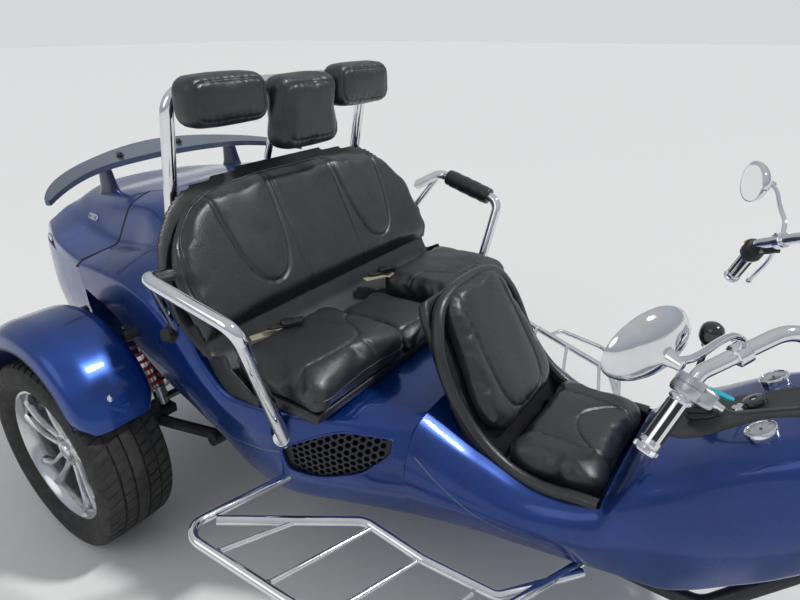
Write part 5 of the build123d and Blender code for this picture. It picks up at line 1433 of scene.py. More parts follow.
def alloy_wheel(tag, centre, side, body, node, rim, half, hub_out, hub_r, discs, shaft, both_faces=False):
    """Barrel with rolled lips, five pairs of swept spokes, hub with cap and bolts, discs and shaft."""
    lip = [(half - 3, rim + 7), (half + 1, rim + 4), (half + 1, rim - 3), (half - 5, rim - 9),
           (half - 22, rim - 17), (half - 46, rim - 20), (0, rim - 24), (-half + 46, rim - 20),
           (-half + 22, rim - 16), (-half + 5, rim - 9), (-half - 1, rim - 3), (-half - 1, rim + 4),
           (-half + 3, rim + 7), (-half + 6, rim + 3), (-half + 24, rim - 9), (-half + 46, rim - 14),
           (0, rim - 18), (half - 46, rim - 14), (half - 24, rim - 9), (half - 6, rim + 3)]
    ring_profile(f"{tag}_barrel", lip, centre, side, body, alloy, "alloy", [node], 120)
    spokes_v, spokes_f = [], []
    inner_r, outer_r = hub_r - 8, rim - 14
    for pair in range(5):
        for lean in (-1, 1):
            rings = []
            for share in np.linspace(0, 1, 14):
                radius = inner_r + (outer_r - inner_r) * share
                angle = math.radians(72 * pair) + lean * (0.30 - 0.10 * share - 0.10
                                                          * math.sin(math.pi * share) * 0.6)
                angle += 0.16 * share * share
                wide = 11.5 - 4.0 * math.sin(math.pi * share) + 5.0 * share**3
                face = hub_out - 6 + (half - hub_out - 12) * share**1.6 + 6 * math.sin(math.pi * share)
                deep = 26 - 6 * share
                ring = []
                for u, v in ((-1, -1), (1, -1), (1, -0.25), (0.72, 0.0), (0.28, 0.10), (-0.28, 0.10),
                             (-0.72, 0.0), (-1, -0.25)):
                    ring.append(wheel_point(centre, side, face + v * deep, radius,
                                            angle + u * wide / radius))
                rings.append(ring)
            verts, faces = rings_to_mesh(rings, True, True, True)
            base = len(spokes_v)
            spokes_v += verts
            spokes_f += [tuple(base + i for i in f) for f in faces]
    piece(f"{tag}_spokes", spokes_v, spokes_f, body, alloy, "alloy", (), 32)
    low = -hub_out if both_faces else -20
    hub = [(low, 14), (low, hub_r - 6), (low + 6, hub_r), (hub_out - 16, hub_r), (hub_out - 6, hub_r - 5),
           (hub_out - 3, hub_r - 14), (hub_out - 9, hub_r - 20), (hub_out - 9, 27), (hub_out - 6, 24),
           (hub_out - 6, 14)]
    ring_profile(f"{tag}_hub", hub, centre, side, body, alloy, "alloy", (), 72)
    for k in range(5):
        a = 2 * math.pi * (k + 0.5) / 5
        spot = wheel_point(centre, side, hub_out - 10, hub_r - 25 if hub_r > 50 else hub_r - 10, a)
        screw(f"{tag}_bolt_{k}", spot, (0, side, 0), 8.5 if hub_r > 50 else 5, body, steel_dark, "alloy")
    for k, (mid, thick, radius) in enumerate(discs):
        half_t = thick / 2
        disc = [(mid - half_t, 50), (mid - half_t, radius - 1), (mid - half_t + 1, radius),
                (mid + half_t - 1, radius), (mid + half_t, radius - 1), (mid + half_t, 50)]
        ring_profile(f"{tag}_disc_{k}", disc, centre, side, body, steel_dark, "alloy", [node], 96)
        bell = [(mid - half_t - 4, 30), (mid - half_t - 4, 60), (mid + half_t + 4, 60),
                (mid + half_t + 4, 30)]
        ring_profile(f"{tag}_bell_{k}", bell, centre, side, body, cast, "alloy", (), 60)
    if shaft:
        rows = [(-10, 24), (-60, 26), (-76, 44), (-86, 44), (-100, 40), (-104, 22), (-120, 14.9),
                (-150, 14.9), (-152, 26), (-190, 24), (-196, 19), (-204, 23), (-210, 18), (-218, 21),
                (-224, 16), (-230, 14.9), (-585, 14.9)]
        ring_profile(f"{tag}_shaft", rows, centre, side, body, steel_dark, "alloy", [node], 32, False, 40)
        cap = [(hub_out - 7, 23), (hub_out - 1, 23), (hub_out + 3, 20), (hub_out + 5, 12),
               (hub_out + 5.5, 0.1)]
        ring_profile(f"{tag}_cap", cap, centre, side, body, chrome, "chrome", (), 48, False, 30)


for side, tag in SIDES:
    centre = (REAR_AXLE[0], side * REAR_AXLE[1], REAR_AXLE[2])
    body = f"rear_wheel_{tag}"
    tyre(f"rear_tyre_tread_{tag}", centre, side, body, f"rear_tyre_{tag}", 322, 222, 230, 56,
         (-0.52, -0.18, 0.18, 0.52), 0.80)
    alloy_wheel(f"rear_wheel_{tag}", centre, side, body, f"rear_rim_{tag}", 222, 89.7, 58, 62,
                [(-94, 12, 140)], True)
    # Rings on the sidewall
    for k, (across, radius) in enumerate([(104.5, 244), (113.0, 262)]):
        rows = [(across - 2, radius - 1.5), (across + 0.9, radius - 0.8), (across + 1.2, radius + 0.6),
                (across - 1, radius + 2.0)]
        ring_profile(f"rear_sidewall_ring_{tag}_{k}", rows, centre, side, body, tyre_rubber, "tyre_rubber")
    # Valve
    tube(f"valve_{tag}", [wheel_point(centre, side, 76, 201, 0.3),
                          wheel_point(centre, side, 84, 190, 0.3)], 3.4, body,
         black_rubber, sides=2)
centre = FRONT_AXLE
tyre("front_tyre_tread", centre, 1, "front_wheel", "front_tyre", 310, 205, 130, 60, (-0.36, 0.36), 0.72,
     4.0, 0.10)
alloy_wheel("front_wheel", centre, 1, "front_wheel", "front_rim", 205, 50.7, 62, 36,
            [(57, 6, 130), (-57, 6, 130)], False, True)

# Springs
for side, tag in SIDES:
    foot = np.array([-1085.0, side * 455, 357.6])
    head = np.array([-1200.0, side * 450, 690.0])
    way = unit(head - foot)
    first, second = square_to(way, (0, 1, 0))
    turns, helix = 7.5, []
    for k in range(int(turns * 22) + 1):
        share = k / (turns * 22)
        a = 2 * math.pi * turns * share
        rise = 66 + 5.6 + (225 - 11.2) * share
        helix.append(foot + way * rise + (first * math.cos(a) + second * math.sin(a)) * 31.8)
    tube(f"coil_spring_{tag}", helix, 5.6, "chassis", spring_red, replaces=["coil_springs"],
         sides=3)
    # Head of the damper above the spring, and the boot at its foot
    base = foot + way * 300
    lathe(f"damper_head_{tag}", [(0, 20), (4, 22), (22, 22), (26, 18), (34, 12), (40, 12)], base - way * 4,
          way, "chassis", cast, 32, sharp=35)
    lathe(f"damper_boot_{tag}", [(60 + 4 * k, 21 + 3.0 * (k % 2)) for k in range(12)], foot + way * 4, way,
          "chassis", black_rubber, 32, sharp=60)

# Dash, gauges and controls
dash_up = np.array([166.0, 0, 112.0]) / math.hypot(166, 112)
dash_out = np.array([-dash_up[2], 0, dash_up[0]])
dash_origin = np.array([489.0, 0, 660.3])


def on_dash(along, across, lift=0.0):
    return dash_origin + dash_up * along + np.array([0, across, 0]) + dash_out * lift


# Textured panel that widens forward and follows the cowl
rows = [(-82, 40), (-60, 66), (-20, 88), (30, 92), (80, 82), (120, 72), (160, 66), (200, 69), (240, 80),
        (285, 98), (330, 108)]
table = pchip([r[0] for r in rows], [[r[1]] for r in rows], np.linspace(DASH_FROM, DASH_TO, 60))
verts, faces = [], []
lines = 27
for along, (reach,) in zip(np.linspace(DASH_FROM, DASH_TO, 60), table):
    for j in range(lines):
        v = -1 + 2 * j / (lines - 1)
        start = on_dash(along, v * reach, 200)
        place, normal = land(front_skin, start, tuple(-dash_out))
        if place is None:
            place, normal = Vector(on_dash(along, v * reach, 0)), Vector(dash_out)
        edge_drop = 2.6 * min(1.0, (1 - abs(v)) * 9, (along - DASH_FROM) / 8 + 0.02,
                              (DASH_TO - along) / 8 + 0.02)
        verts.append(tuple(place + normal * (0.5 + edge_drop)))
for r in range(59):
    for j in range(lines - 1):
        a = r * lines + j
        faces.append((a, a + 1, a + lines + 1, a + lines))
panel = piece("dash_skin", verts, faces, "chassis", dash_black, "dash_black", ["dash_panel"], 50)
wall(panel, 2.4)
mark_sharp(panel.data, 50)

for side, tag in SIDES:
    seat = on_dash(GAUGE_ALONG, side * GAUGE_ACROSS, 40)
    place, normal = land(front_skin, seat, tuple(-dash_out))
    middle = np.array(place)
    out = np.array(normal) * 0.55 + dash_out * 0.45
    out /= np.linalg.norm(out)
    lathe(f"gauge_bezel_{tag}", [(-14, 33), (4, 34), (10, 34.5), (13.5, 33), (14.5, 30.5), (13, 28.5),
                                 (9.5, 27.6), (9, 0.0)],
          middle, out, "chassis", chrome, 64, slot="chrome", replaces=["gauges"], sharp=40)
    lathe(f"gauge_dial_{tag}", [(9.2, 27.4), (9.8, 27.4), (10.0, 0.0)], middle, out, "chassis", dial_white,
          64, slot="gauge_white", sharp=40)
    lathe(f"gauge_glass_{tag}", [(12.2, 28.4), (13.2, 20), (13.8, 10), (14.0, 0.1)], middle, out,
          "chassis", clear_glass, 48, slot="lens_clear", sharp=40)
    first, second = square_to(out, (0, 1, 0))
    verts, faces = [], []
    for k in range(31):
        a = math.radians(-135 + 270 * k / 30)
        ray = first * math.cos(a) + second * math.sin(a)
        flank = np.cross(out, ray)
        long, wide = (6.5, 0.75) if k % 5 == 0 else (3.6, 0.4)
        base = len(verts)
        for r, w in ((25.5, wide), (25.5 - long, wide)):
            verts += [middle + out * 10.3 + ray * r + flank * w, middle + out * 10.3 + ray * r - flank * w]
        faces.append((base, base + 1, base + 3, base + 2))
    a = math.radians(-95 if side < 0 else -60)
    ray = first * math.cos(a) + second * math.sin(a)
    flank = np.cross(out, ray)
    piece(f"gauge_ticks_{tag}", verts, faces, "chassis", gloss_black, "black_rubber", (), 30, False)
    needle = [middle + out * 10.9 + ray * 21, middle + out * 10.9 - ray * 6 + flank * 1.3,
              middle + out * 10.9 - ray * 6 - flank * 1.3, middle + out * 11.6 + ray * 2]
    piece(f"gauge_needle_{tag}", needle, [(0, 1, 3), (1, 2, 3), (2, 0, 3), (0, 2, 1)], "chassis", mark_red)
    lathe(f"gauge_boss_{tag}", [(10.2, 3.4), (12, 3.0), (12.4, 0.1)], middle, out, "chassis", gloss_black,
          24)

# Gear lever: bellows that shrink upward, stem and knob
lever_way = (np.array([472.0, 0, 892]) - np.array([452.0, 0, 715])) / np.linalg.norm([20, 0, 177])
foot = on_dash(20, 0, 5)
rings = []
folds = 5
for k in range(folds * 8 + 1):
    share = k / (folds * 8)
    fold = 0.5 + 0.5 * math.cos(2 * math.pi * share * folds)
    rise = share * 66
    centre = foot * (1 - share) + np.array([449.5, 0, 726]) * share
    out = dash_out * (1 - share) + lever_way * share
    out /= np.linalg.norm(out)
    along_axis = np.cross((0, 1, 0), out)
    reach_x = (46 - 31 * share) * (0.84 + 0.16 * fold)
    reach_y = (42 - 28 * share) * (0.84 + 0.16 * fold)
    ring = []
    for j in range(44):
        a = 2 * math.pi * j / 44
        c, s = math.cos(a), math.sin(a)
        power = 0.62 + 0.38 * share
        ring.append(centre + along_axis * reach_x * math.copysign(abs(c) ** power, c)
                    + np.array([0, 1, 0]) * reach_y * math.copysign(abs(s) ** power, s))
    rings.append(ring)
verts, faces = rings_to_mesh(rings, True, True, True)
piece("lever_gaiter", verts, faces, "chassis", black_rubber, "black_rubber", ["gear_lever"], 60)
lathe("lever_stem", [(-30, 7), (140, 7), (142, 9), (150, 9)], (452, 0, 715), lever_way, "chassis",
      gloss_black, 24, replaces=["gear_lever"])
knob = [(148, 9), (152, 15), (158, 21), (168, 25.4), (178, 26.6), (188, 26.2), (196, 23.5), (202, 18),
        (206, 10), (207, 0.1)]
lathe("lever_knob", knob, (452, 0, 715), lever_way, "chassis", gloss_black, 48, sharp=60,
      replaces=["gear_lever"])
lathe("lever_knob_ring", [(144, 12.5), (146, 14), (150, 14), (152, 12.5)], (452, 0, 715), lever_way,
      "chassis", chrome, 40)

# Ignition lock with its key and teal tag, and the round cap with a socket
lock = on_dash(96, 0, 4)
lathe("lock_barrel", [(0, 15), (6, 15), (9, 13), (12, 12.6), (13, 9), (12, 0.1)], lock, dash_out,
      "chassis", chrome, 40, slot="chrome", replaces=["dash_fittings"])
key_way = dash_out * 0.93 + np.array([-0.25, -0.28, 0])
key_way /= np.linalg.norm(key_way)


def slab(name, start, way, wide_way, length, wide, thick, body, mat, slot=None, tip=1.0, replaces=()):
    """A thin plate with rounded ends that runs from start along way."""
    way = np.array(way) / np.linalg.norm(way)
    wide_way = np.array(wide_way) - way * np.dot(wide_way, way)
    wide_way /= np.linalg.norm(wide_way)
    up = np.cross(way, wide_way)
    outline = []
    for k in range(17):
        a = -math.pi / 2 + math.pi * k / 16
        outline.append((length - wide / 2 + wide / 2 * math.cos(a), wide / 2 * tip * math.sin(a)))
    for k in range(17):
        a = math.pi / 2 + math.pi * k / 16
        outline.append((wide / 2 + wide / 2 * math.cos(a), wide / 2 * math.sin(a)))
    start = np.array(start, float)
    rings = []
    for level, grow in ((-0.5, 0.9), (-0.32, 1.0), (0.32, 1.0), (0.5, 0.9)):
        rings.append([start + way * (length / 2 + (u - length / 2) * (0.97 + 0.03 * grow)) + wide_way * v
                      * grow + up * level * thick for u, v in outline])
    verts, faces = rings_to_mesh(rings, True, True, True)
    return piece(name, verts, faces, body, mat, slot, replaces, 40)


slab("key_blade", lock + dash_out * 10, key_way, (0, 1, 0), 26, 8, 2.4, "chassis", chrome, "chrome")
slab("key_tag", lock + dash_out * 22 + key_way * 6, (-0.93, -0.05, 0.20), (0, 1, 0.1), 62, 17, 6.5,
     "chassis", key_teal)
cap = on_dash(132, 10, 4)
lathe("round_cap", [(0, 25), (5, 26), (14, 26), (18, 24), (19.5, 20), (19.5, 8), (14, 7), (13.5, 0.1)],
      cap, dash_out, "chassis", gloss_black, 56, replaces=["dash_fittings"], sharp=40)
lathe("round_cap_core", [(13, 6), (16.5, 5.5), (17, 0.1)], cap, dash_out, "chassis", dial_white, 24)

# Grips: rubber strips let into the chromed sleeve, with a ring at each end and a knurled cap
for side, tag in SIDES:
    root = np.array([HEAD_X - 458, side * 400, 1000])
    tip_point = np.array([HEAD_X - 501, side * 470, 885])
    way = unit(tip_point - root)
    start = root + way * 50
    first, second = square_to(way, (0, 0, 1))
    verts, faces = [], []
    for k in range(7):
        a = 2 * math.pi * k / 7 + 0.35
        ray, flank = first * math.cos(a) + second * math.sin(a), -first * math.sin(a) + second * math.cos(a)
        base = len(verts)
        for s, h in ((12, 0.2), (14, 1.4), (88, 1.4), (90, 0.2)):
            for w, lift in ((-4.6, 0), (-3.6, 1), (3.6, 1), (4.6, 0)):
                verts.append(start + way * s + ray * (math.sqrt(max(18.0**2 - w * w, 0)) + h * lift
                                                      - 0.2) + flank * w)
        for r in range(3):
            for j in range(3):
                i = base + r * 4 + j
                faces.append((i, i + 1, i + 5, i + 4))
    piece(f"grip_strips_{tag}", verts, faces, "steering", black_rubber, "black_rubber", (), 40)
    lathe(f"grip_collar_{tag}", [(0, 16), (0.5, 21), (3, 22.5), (7, 22.5), (9, 20.5), (11, 18.6),
                                 (11, 15)], start, way,
          "steering", chrome, 48, slot="chrome")
    lathe(f"grip_end_{tag}", [(92, 16), (92, 19.4), (99, 19.8), (101, 18.4), (104, 18.4), (106, 21),
                              (114, 21), (117, 19), (119, 12), (119.5, 11), (117, 9), (117, 0.1)], start,
          way, "steering", chrome, 48, slot="chrome")
    verts, faces = [], []
    for k in range(30):
        a = 2 * math.pi * k / 30
        ray, flank = first * math.cos(a) + second * math.sin(a), -first * math.sin(a) + second * math.cos(a)
        base = len(verts)
        for s in (106.5, 113.5):
            verts += [start + way * s + ray * 20.6 + flank * 1.5, start + way * s + ray * 22.4,
                      start + way * s + ray * 20.6 - flank * 1.5]
        faces += [(base, base + 1, base + 4, base + 3), (base + 1, base + 2, base + 5, base + 4),
                  (base, base + 2, base + 1), (base + 3, base + 4, base + 5)]
    piece(f"grip_knurl_{tag}", verts, faces, "steering", chrome, "chrome", (), 20)

# Throttle housing, right: two half shells with a rib, a boss for the cable and screws
root = np.array([HEAD_X - 458, -400.0, 1000])
tip_point = np.array([HEAD_X - 501, -470.0, 885])
grip_way = unit(tip_point - root)
grip_start = root + grip_way * 50
lathe("throttle_shell", [(-38, 14.6), (-38, 24), (-35, 28), (-28, 29.5), (-24, 29.5), (-23, 28), (-22, 28),
                         (-21, 29.5), (-8, 29.5), (-3, 27), (-1, 24), (-1, 14.6)], grip_start, grip_way,
      "steering", satin, 64, slot="engine_alloy", replaces=["controls"], sharp=30)
cable_out = np.array([1.0, 0, 0]) - grip_way * grip_way[0]
cable_out /= np.linalg.norm(cable_out)
side_way = np.cross(grip_way, cable_out)
rings = []
for reach, wide, long in ((18, 17, 17), (34, 17, 17), (44, 14, 15), (47, 11, 12)):
    ring = []
    for k in range(28):
        a = 2 * math.pi * k / 28
        c, s = math.cos(a), math.sin(a)
        ring.append(grip_start - grip_way * 18 + cable_out * reach + side_way * wide
                    * math.copysign(abs(c) ** 0.5, c) + grip_way * long * math.copysign(abs(s) ** 0.5, s))
    rings.append(ring)
verts, faces = rings_to_mesh(rings, True, True, True)
piece("throttle_boss", verts, faces, "steering", satin, "engine_alloy", (), 40)
lathe("cable_ferrule", [(26, 8), (34, 8), (36, 7), (50, 7), (52, 5.6), (60, 5.4), (62, 4.2)],
      grip_start - grip_way * 18, cable_out, "steering", chrome, 32, slot="chrome")
for k in (-1, 1):
    screw(f"throttle_screw_{k + 1}", grip_start - grip_way * 18 + cable_out * 24 + grip_way * 10 * k
          + side_way * 16.4, side_way, 3.4, "steering", steel_dark, "chrome")

# Left: switch block with a button, reservoir with its lid, and lever with a ball end
left_start = grip_start * np.array([1, -1, 1])
left_way = grip_way * np.array([1, -1, 1])
lathe("switch_shell", [(-40, 14.6), (-40, 25), (-37, 28), (-22, 28.5), (-21, 27.4), (-20, 28.5), (-5, 28),
                       (-1, 25), (-1, 14.6)], left_start, left_way, "steering", black_rubber, 56,
      slot="black_rubber", replaces=["controls"], sharp=30)
anchor = left_start - left_way * 20
lathe("switch_button", [(22, 7), (31, 7), (33, 5.5), (33.5, 0.1)], anchor, (-0.7, 0.1, 0.7), "steering",
      button_yellow, 32)
lathe("switch_button_low", [(22, 6), (29, 6), (30.5, 4.5), (31, 0.1)], anchor + left_way * 10,
      (-0.75, -0.4, 0.5), "steering", gloss_black, 32)
pot_way = Vector((38, 8, 14)).normalized()
lathe("reservoir", [(16, 12), (20, 16), (36, 17.4), (52, 17.4), (54, 19), (60, 19), (62, 16),
                    (62.5, 0.1)], anchor, pot_way,
      "steering", black_rubber, 40, slot="black_rubber")
lever = [anchor + np.array([44, 8, 8]), anchor + np.array([52, 9, 10]) + left_way * 10,
         anchor + np.array([56, 10, 6]) + left_way * 60, anchor + np.array([50, 10, 2]) + left_way * 110,
         anchor + np.array([50, 9, 4]) + left_way * 148]
tube("clutch_lever", lever, 6.0, "steering", chrome, smooth=True, sides=4)
lathe("lever_ball", [(-8, 1), (-7, 5), (-3, 8.4), (1, 9), (5, 7.6), (8, 4), (9, 0.1)], lever[-1], left_way,
      "steering", chrome, 28, slot="chrome")

# Mirrors
for side, tag in SIDES:
    centre = np.array([HEAD_X - 521, side * 590.0, 1125.0])
    x_way = np.array([-0.42, side * 0.907, 0])
    out = np.array([-0.90, -side * 0.42, 0.12])
    x_way /= np.linalg.norm(x_way)
    out -= x_way * np.dot(out, x_way)
    out /= np.linalg.norm(out)
    y_way = np.cross(out, x_way)
    rings = []
    for depth, grow in ((0.6, 0.955), (1.2, 0.985), (0.4, 1.0), (-3, 1.0), (-6, 0.985), (-12, 0.95),
                        (-19, 0.87), (-26, 0.74), (-32, 0.56), (-37, 0.36), (-41, 0.20), (-46, 0.11)):
        rings.append([centre + out * depth + x_way * (87 * grow * math.cos(2 * math.pi * k / 72))
                      + y_way * (58 * grow * math.sin(2 * math.pi * k / 72)) for k in range(72)])
    verts, faces = rings_to_mesh(rings, True, False, True)
    piece(f"mirror_shell_{tag}", verts, faces, "steering", chrome, "chrome", ["mirrors"], 50)
    glass = [[centre + out * lift + x_way * 83 * grow * math.cos(2 * math.pi * k / 72)
              + y_way * 54.5 * grow * math.sin(2 * math.pi * k / 72) for k in range(72)]
             for grow, lift in ((1.0, 0.4), (0.99, 1.0), (0.8, 1.6), (0.6, 2.1), (0.4, 2.5), (0.2, 2.75),
                                (0.02, 2.8))]
    verts, faces = rings_to_mesh(glass, True, False, True)
    piece(f"mirror_face_{tag}", verts, faces, "steering", mirror_face, "mirror_silver",
          ["mirror_glasses"], 50)
    # Stem: from the shell's back, by an elbow, to the clamp on the bar
    knuckle = centre - out * 44
    stem = [tuple(knuckle + out * 4), tuple(knuckle - out * 22), (HEAD_X - 430, side * 430, 1094),
            (HEAD_X - 411, side * 388, 1076), (HEAD_X - 408, side * 362, 1052),
            (HEAD_X - 408, side * 354, 1034)]
    tube(f"mirror_stem_{tag}", stem, 6.2, "steering", chrome, smooth=True, replaces=["mirrors"],
         sides=5)
    lathe(f"mirror_neck_{tag}", [(-6, 16), (4, 13), (16, 9.5), (26, 8.4), (27, 6.5)], knuckle + out * 6,
          -out, "steering", chrome, 36, slot="chrome")
    clamp = np.array([HEAD_X - 408.5, side * 354.0, 1032.0])
    lathe(f"mirror_clamp_{tag}", [(-13, 14.3), (-13, 19), (-11, 21), (11, 21), (13, 19), (13, 14.3)], clamp,
          (0.62, -side * 0.62, 0.47), "steering", chrome, 44, slot="chrome")
    screw(f"mirror_clamp_screw_{tag}", clamp + np.array([-14, side * -8, 16]), (-0.6, side * -0.3, 0.75),
          5, "steering", steel_dark, "chrome")

# Lap belts: webbing out of the crease, over the cushion to a buckle with a black button
for tag, pad, first_y, run_y, buckle, way in (
        ("right", cushion_tops[0], -446, 160, (-572, -392), (76, 111)),
        ("left", cushion_tops[2], 70, 100, (-600, 108), (66, 126))):
    ahead = unit(np.array(way, float))
    across = (-ahead[1], ahead[0], 0)
    spot = np.array(buckle, float)
    place, normal = land(pad, (spot[0] + ahead[0] * 45, spot[1] + ahead[1] * 45, 1000), (0, 0, -1))
    level = place.z if place is not None else 752.0
    start = np.array([spot[0], spot[1], level + 10])
    slab(f"buckle_{tag}", start + np.array([ahead[0] * 26, ahead[1] * 26, 3]), (ahead[0], ahead[1], 0.0),
         across, 74, 34, 19, "chassis", gloss_black, "black_rubber", 0.8, ["belt_buckles"])
    slab(f"buckle_button_{tag}", start + np.array([ahead[0] * 78, ahead[1] * 78, 8]),
         (ahead[0], ahead[1], 0.0), across, 18, 20, 11, "chassis", black_rubber, "black_rubber")
    slab(f"buckle_stalk_{tag}", start - np.array([ahead[0] * 12, ahead[1] * 12, 2]),
         (ahead[0], ahead[1], 0.03), across, 56, 27, 7, "chassis", black_rubber, "black_rubber")
    verts, faces = [], []
    for k in range(12):
        share = k / 11
        x = -600 + 46 * share
        y = first_y + run_y * share
        place, normal = land(pad, (x, y, 1000), (0, 0, -1))
        z = (place.z if place is not None else 750) + 2.5
        z = max(z, 745)
        for w in (-19, -17, 17, 19):
            verts.append((x + w * 0.75, y - w * 0.35, z + (1.2 if abs(w) < 18 else 0)))
    for r in range(11):
        for j in range(3):
            i = r * 4 + j
            faces.append((i, i + 1, i + 5, i + 4))
    band = piece(f"belt_{tag}", verts, faces, "chassis", webbing, None, (), 60)
    wall(band, 1.6)
    finer = band.modifiers.new("finer", "SUBSURF")
    finer.levels = 1
    settle(band, 60)

# Brackets on the spoiler's top, where its wiring clips sit
for k, (x, y) in enumerate([(-1478, -205), (-1500, 60)]):
    level = underside(x, y) + 20
    slope = (-1.0, 0, 0.30)
    slab(f"spoiler_clip_{k}", (x + 14, y, level + 3), slope, (0, 1, 0), 32, 20, 6, "boot_lid",
         gloss_black, "black_rubber")
    lathe(f"spoiler_clip_post_{k}", [(-3, 5), (9, 5), (11, 3.5), (11.5, 0.1)], (x, y, level + 4),
          (0.28, 0, 0.96), "boot_lid", gloss_black, 20)

# Bolt at each fender's front, and a bead along its edges
for side, tag in SIDES:
    fender = bpy.data.objects[f"fender_skin_{tag}"]
    place, normal = land(fender, (-500, side * 724, 640), (-1, 0, -0.1))
    if place is not None:
        lathe(f"fender_washer_{tag}", [(-0.5, 9.5), (1.2, 9.5), (1.8, 8.5), (1.8, 0.1)], place, normal,
              "chassis", chrome, 28, slot="chrome")
        screw(f"fender_bolt_{tag}", place + normal * 1.4, normal, 5.6, "chassis", chrome, "chrome")
    for label, y in (("outer", 824.5), ("inner", 588.5)):
        bead = []
        for radius, first, last, steps in [(FENDER_FRONT_R, 76, 0, 16), (FENDER_REAR_R, 0, -74, 18)]:
            for k in range(steps):
                if bead and k == 0:
                    continue
                angle = math.radians(first + (last - first) * k / (steps - 1))
                bead.append((FENDER_TOP[0] + math.sin(angle) * (radius - 64), side * y,
                             FENDER_TOP[1] - radius + math.cos(angle) * (radius - 64)))
        tube(f"fender_bead_{tag}_{label}", bead, 3.6, "chassis", black_rubber, sides=2)

# Flattened foot of the arm tube with its screw, and the stay's rubber foot
for side, tag in SIDES:
    foot = np.array([-434.0, side * 519.0, 531.0])
    out = np.array([0.376, side * 0.901, 0.216])
    lathe(f"arm_foot_{tag}", [(-2, 24), (2.5, 24), (5, 22), (6, 18), (6.4, 0.1)], foot, out, "chassis",
          chrome, 44, slot="chrome")
    screw(f"arm_foot_screw_{tag}", foot + out * 5.5 + np.array([0, 0, -12]), out, 5.5, "chassis",
          steel_dark, "chrome")
    stub = np.array([-806.0, side * 570, 757])
    lathe(f"stay_foot_{tag}", [(-34, 30), (-24, 29), (-14, 24), (-4, 20.5), (2, 19.6), (5, 17),
                               (6, 12.6)], stub,
          (10, side * 50, 16), "chassis", black_rubber, 40, slot="black_rubber")
    end = np.array([-764.0, side * 515, 933])
    tube_way = np.array([93.0, side * -162, 63])
    lathe(f"arm_socket_{tag}", [(-30, 19), (-26, 24), (-4, 25), (2, 24), (4, 18.6)],
          end + tube_way / 198 * -34, tube_way, "chassis", black_rubber, 40, slot="black_rubber")

# Weld beads where the running boards' rungs meet the outer tube
for side, tag in SIDES:
    for rung in range(4):
        x = -387 + 145 * rung
        along = x + 258
        spot = np.array([x, side * (789 - 0.14 * along), 369 - 0.222 * along])
        inset = [205, 285, 278, 262][rung]
        inner_x = x + 88
        inner = np.array([inner_x, side * (789 - 0.14 * (inner_x + 258) - inset),
                          369 - 0.222 * (inner_x + 258)])
        way = unit(inner - spot)
        lathe(f"rung_weld_{tag}_{rung}", [(10.5, 10.5), (12.6, 9.6), (14.5, 8.0), (16, 7.0)], spot, way,
              "chassis", chrome, 28, slot="chrome", sharp=60)

# Tail lamps, plate bracket's screws, boot latch and side lamps
for y, mat, tag in ((300, lamp_red, "a"), (190, lamp_amber, "b"), (-190, lamp_amber, "c"),
                    (-300, lamp_red, "d")):
    centre = (-1724.3, y, 760)
    lathe(f"tail_bezel_{tag}", [(0, 47), (4, 50), (9, 50), (12, 47.5), (12, 44), (4, 43)], centre,
          (-1, 0, 0), "chassis", chrome, 56, slot="chrome", replaces=["tail_lamps"])
    rows = [(4, 44)] + [(10 + 0.16 * (44 - r) + (1.2 if k % 2 else 0), r)
                        for k, r in enumerate(np.linspace(43.5, 3, 20))]
    rows.append((18.6, 0.1))
    lathe(f"tail_lens_{tag}", rows, centre, (-1, 0, 0), "chassis", mat, 56, replaces=["tail_lamps"],
          sharp=70)
for k in (-75, 75):
    screw(f"plate_screw_{k + 75}", (-1730.5, k, 650), (-1, 0, 0), 6.5, "chassis", chrome, "chrome")
slab("boot_latch", (-1723, -34, 818), (0, 1, 0), (0, 0, 1), 68, 22, 8, "chassis", chrome, "chrome")
for side, tag in SIDES:
    place, normal = land(lid, (-1560, side * 700, 866), (0, -side, 0))
    if place is not None:
        way = np.array([-0.92, -side * 0.30, 0.0])
        slab(f"side_lamp_{tag}", np.array(place) + np.array(normal) * 2.0, way, (0, 0, 1), 58, 15, 6,
             "boot_lid", lamp_clear)

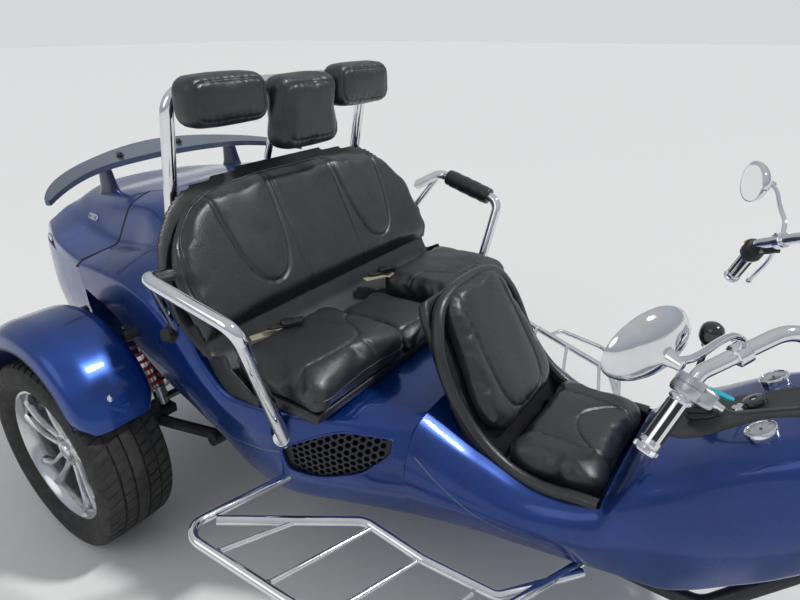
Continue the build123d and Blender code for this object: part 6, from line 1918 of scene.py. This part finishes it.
# Headlamp: ribbed lens, reflector behind it and a bezel
lamp_x = HEAD_X + 138
rows = [(80, 78)] + [(92 + 4.0 * (1 - (r / 78) ** 2) + (0.7 if k % 2 else 0), r)
                     for k, r in enumerate(np.linspace(76, 3, 26))]
rows.append((96.6, 0.1))
lathe("headlamp_glass", rows, (lamp_x, 0, 925), (1, 0, 0), "steering", clear_glass, 72, slot="lens_clear",
      replaces=["headlamp_lens"], sharp=70)
lathe("headlamp_reflector", [(79, 77), (70, 70), (60, 55), (52, 36), (48, 18), (47, 0.1)],
      (lamp_x, 0, 925), (1, 0, 0), "steering", mirror_face, 64, sharp=70)
lathe("headlamp_bezel", [(84, 85.4), (86, 88), (92, 88.6), (97, 86), (98.5, 82), (96, 78.5), (90, 78.5),
                         (88, 80)],
      (lamp_x, 0, 925), (1, 0, 0), "steering", chrome, 72, slot="chrome")

# Engine: cooling fins on the plain block
verts, faces = [], []
for k in range(14):
    z = 300 + 18 * k
    base = len(verts)
    for x, y in ((-1014, -187), (-702, -187), (-702, 187), (-1014, 187)):
        verts += [(x, y, z), (x, y, z + 6)]
    for j in range(4):
        a, b = base + 2 * j, base + 2 * ((j + 1) % 4)
        faces.append((a, b, b + 1, a + 1))
    faces += [(base, base + 2, base + 4, base + 6), (base + 1, base + 3, base + 5, base + 7)]
piece("engine_fins", verts, faces, "chassis", cast, "engine_alloy", (), 30)

# CAD nodes that keep their shape
for name, finish in {
    "headrest_hoop": chrome, "arm_tubes": chrome, "running_boards": chrome, "handlebar": chrome,
    "fork": chrome, "headlamp": chrome, "front_fender": blue_paint, "spoiler": silver_blue,
    "intake_grilles": mesh_black, "throttle_cable": black_rubber, "main_frame": frame_black, "engine": cast,
    "final_drive": cast, "trailing_arms": frame_black, "dampers": satin, "plate_bracket": shell_black,
    "exhaust": satin, "grips": chrome, "arm_pad": vinyl_plain, "gauges": chrome, "gear_lever": black_rubber,
    "dash_fittings": gloss_black, "dash_panel": dash_black, "coil_springs": spring_red,
    "tail_lamps": lamp_red, "belt_buckles": gloss_black, "controls": black_rubber, "mirrors": chrome,
    "mirror_glasses": mirror_face, "headlamp_lens": clear_glass, "front_tyre": tyre_rubber,
    "rear_tyre_right": tyre_rubber, "rear_tyre_left": tyre_rubber, "front_rim": alloy,
    "rear_rim_right": alloy, "rear_rim_left": alloy, "bench_back": vinyl, "bench_cushions": vinyl,
    "driver_pads": vinyl, "headrests": vinyl, "driver_shell": shell_black, "bench_shell": shell_black,
}.items():
    dress(name, finish)
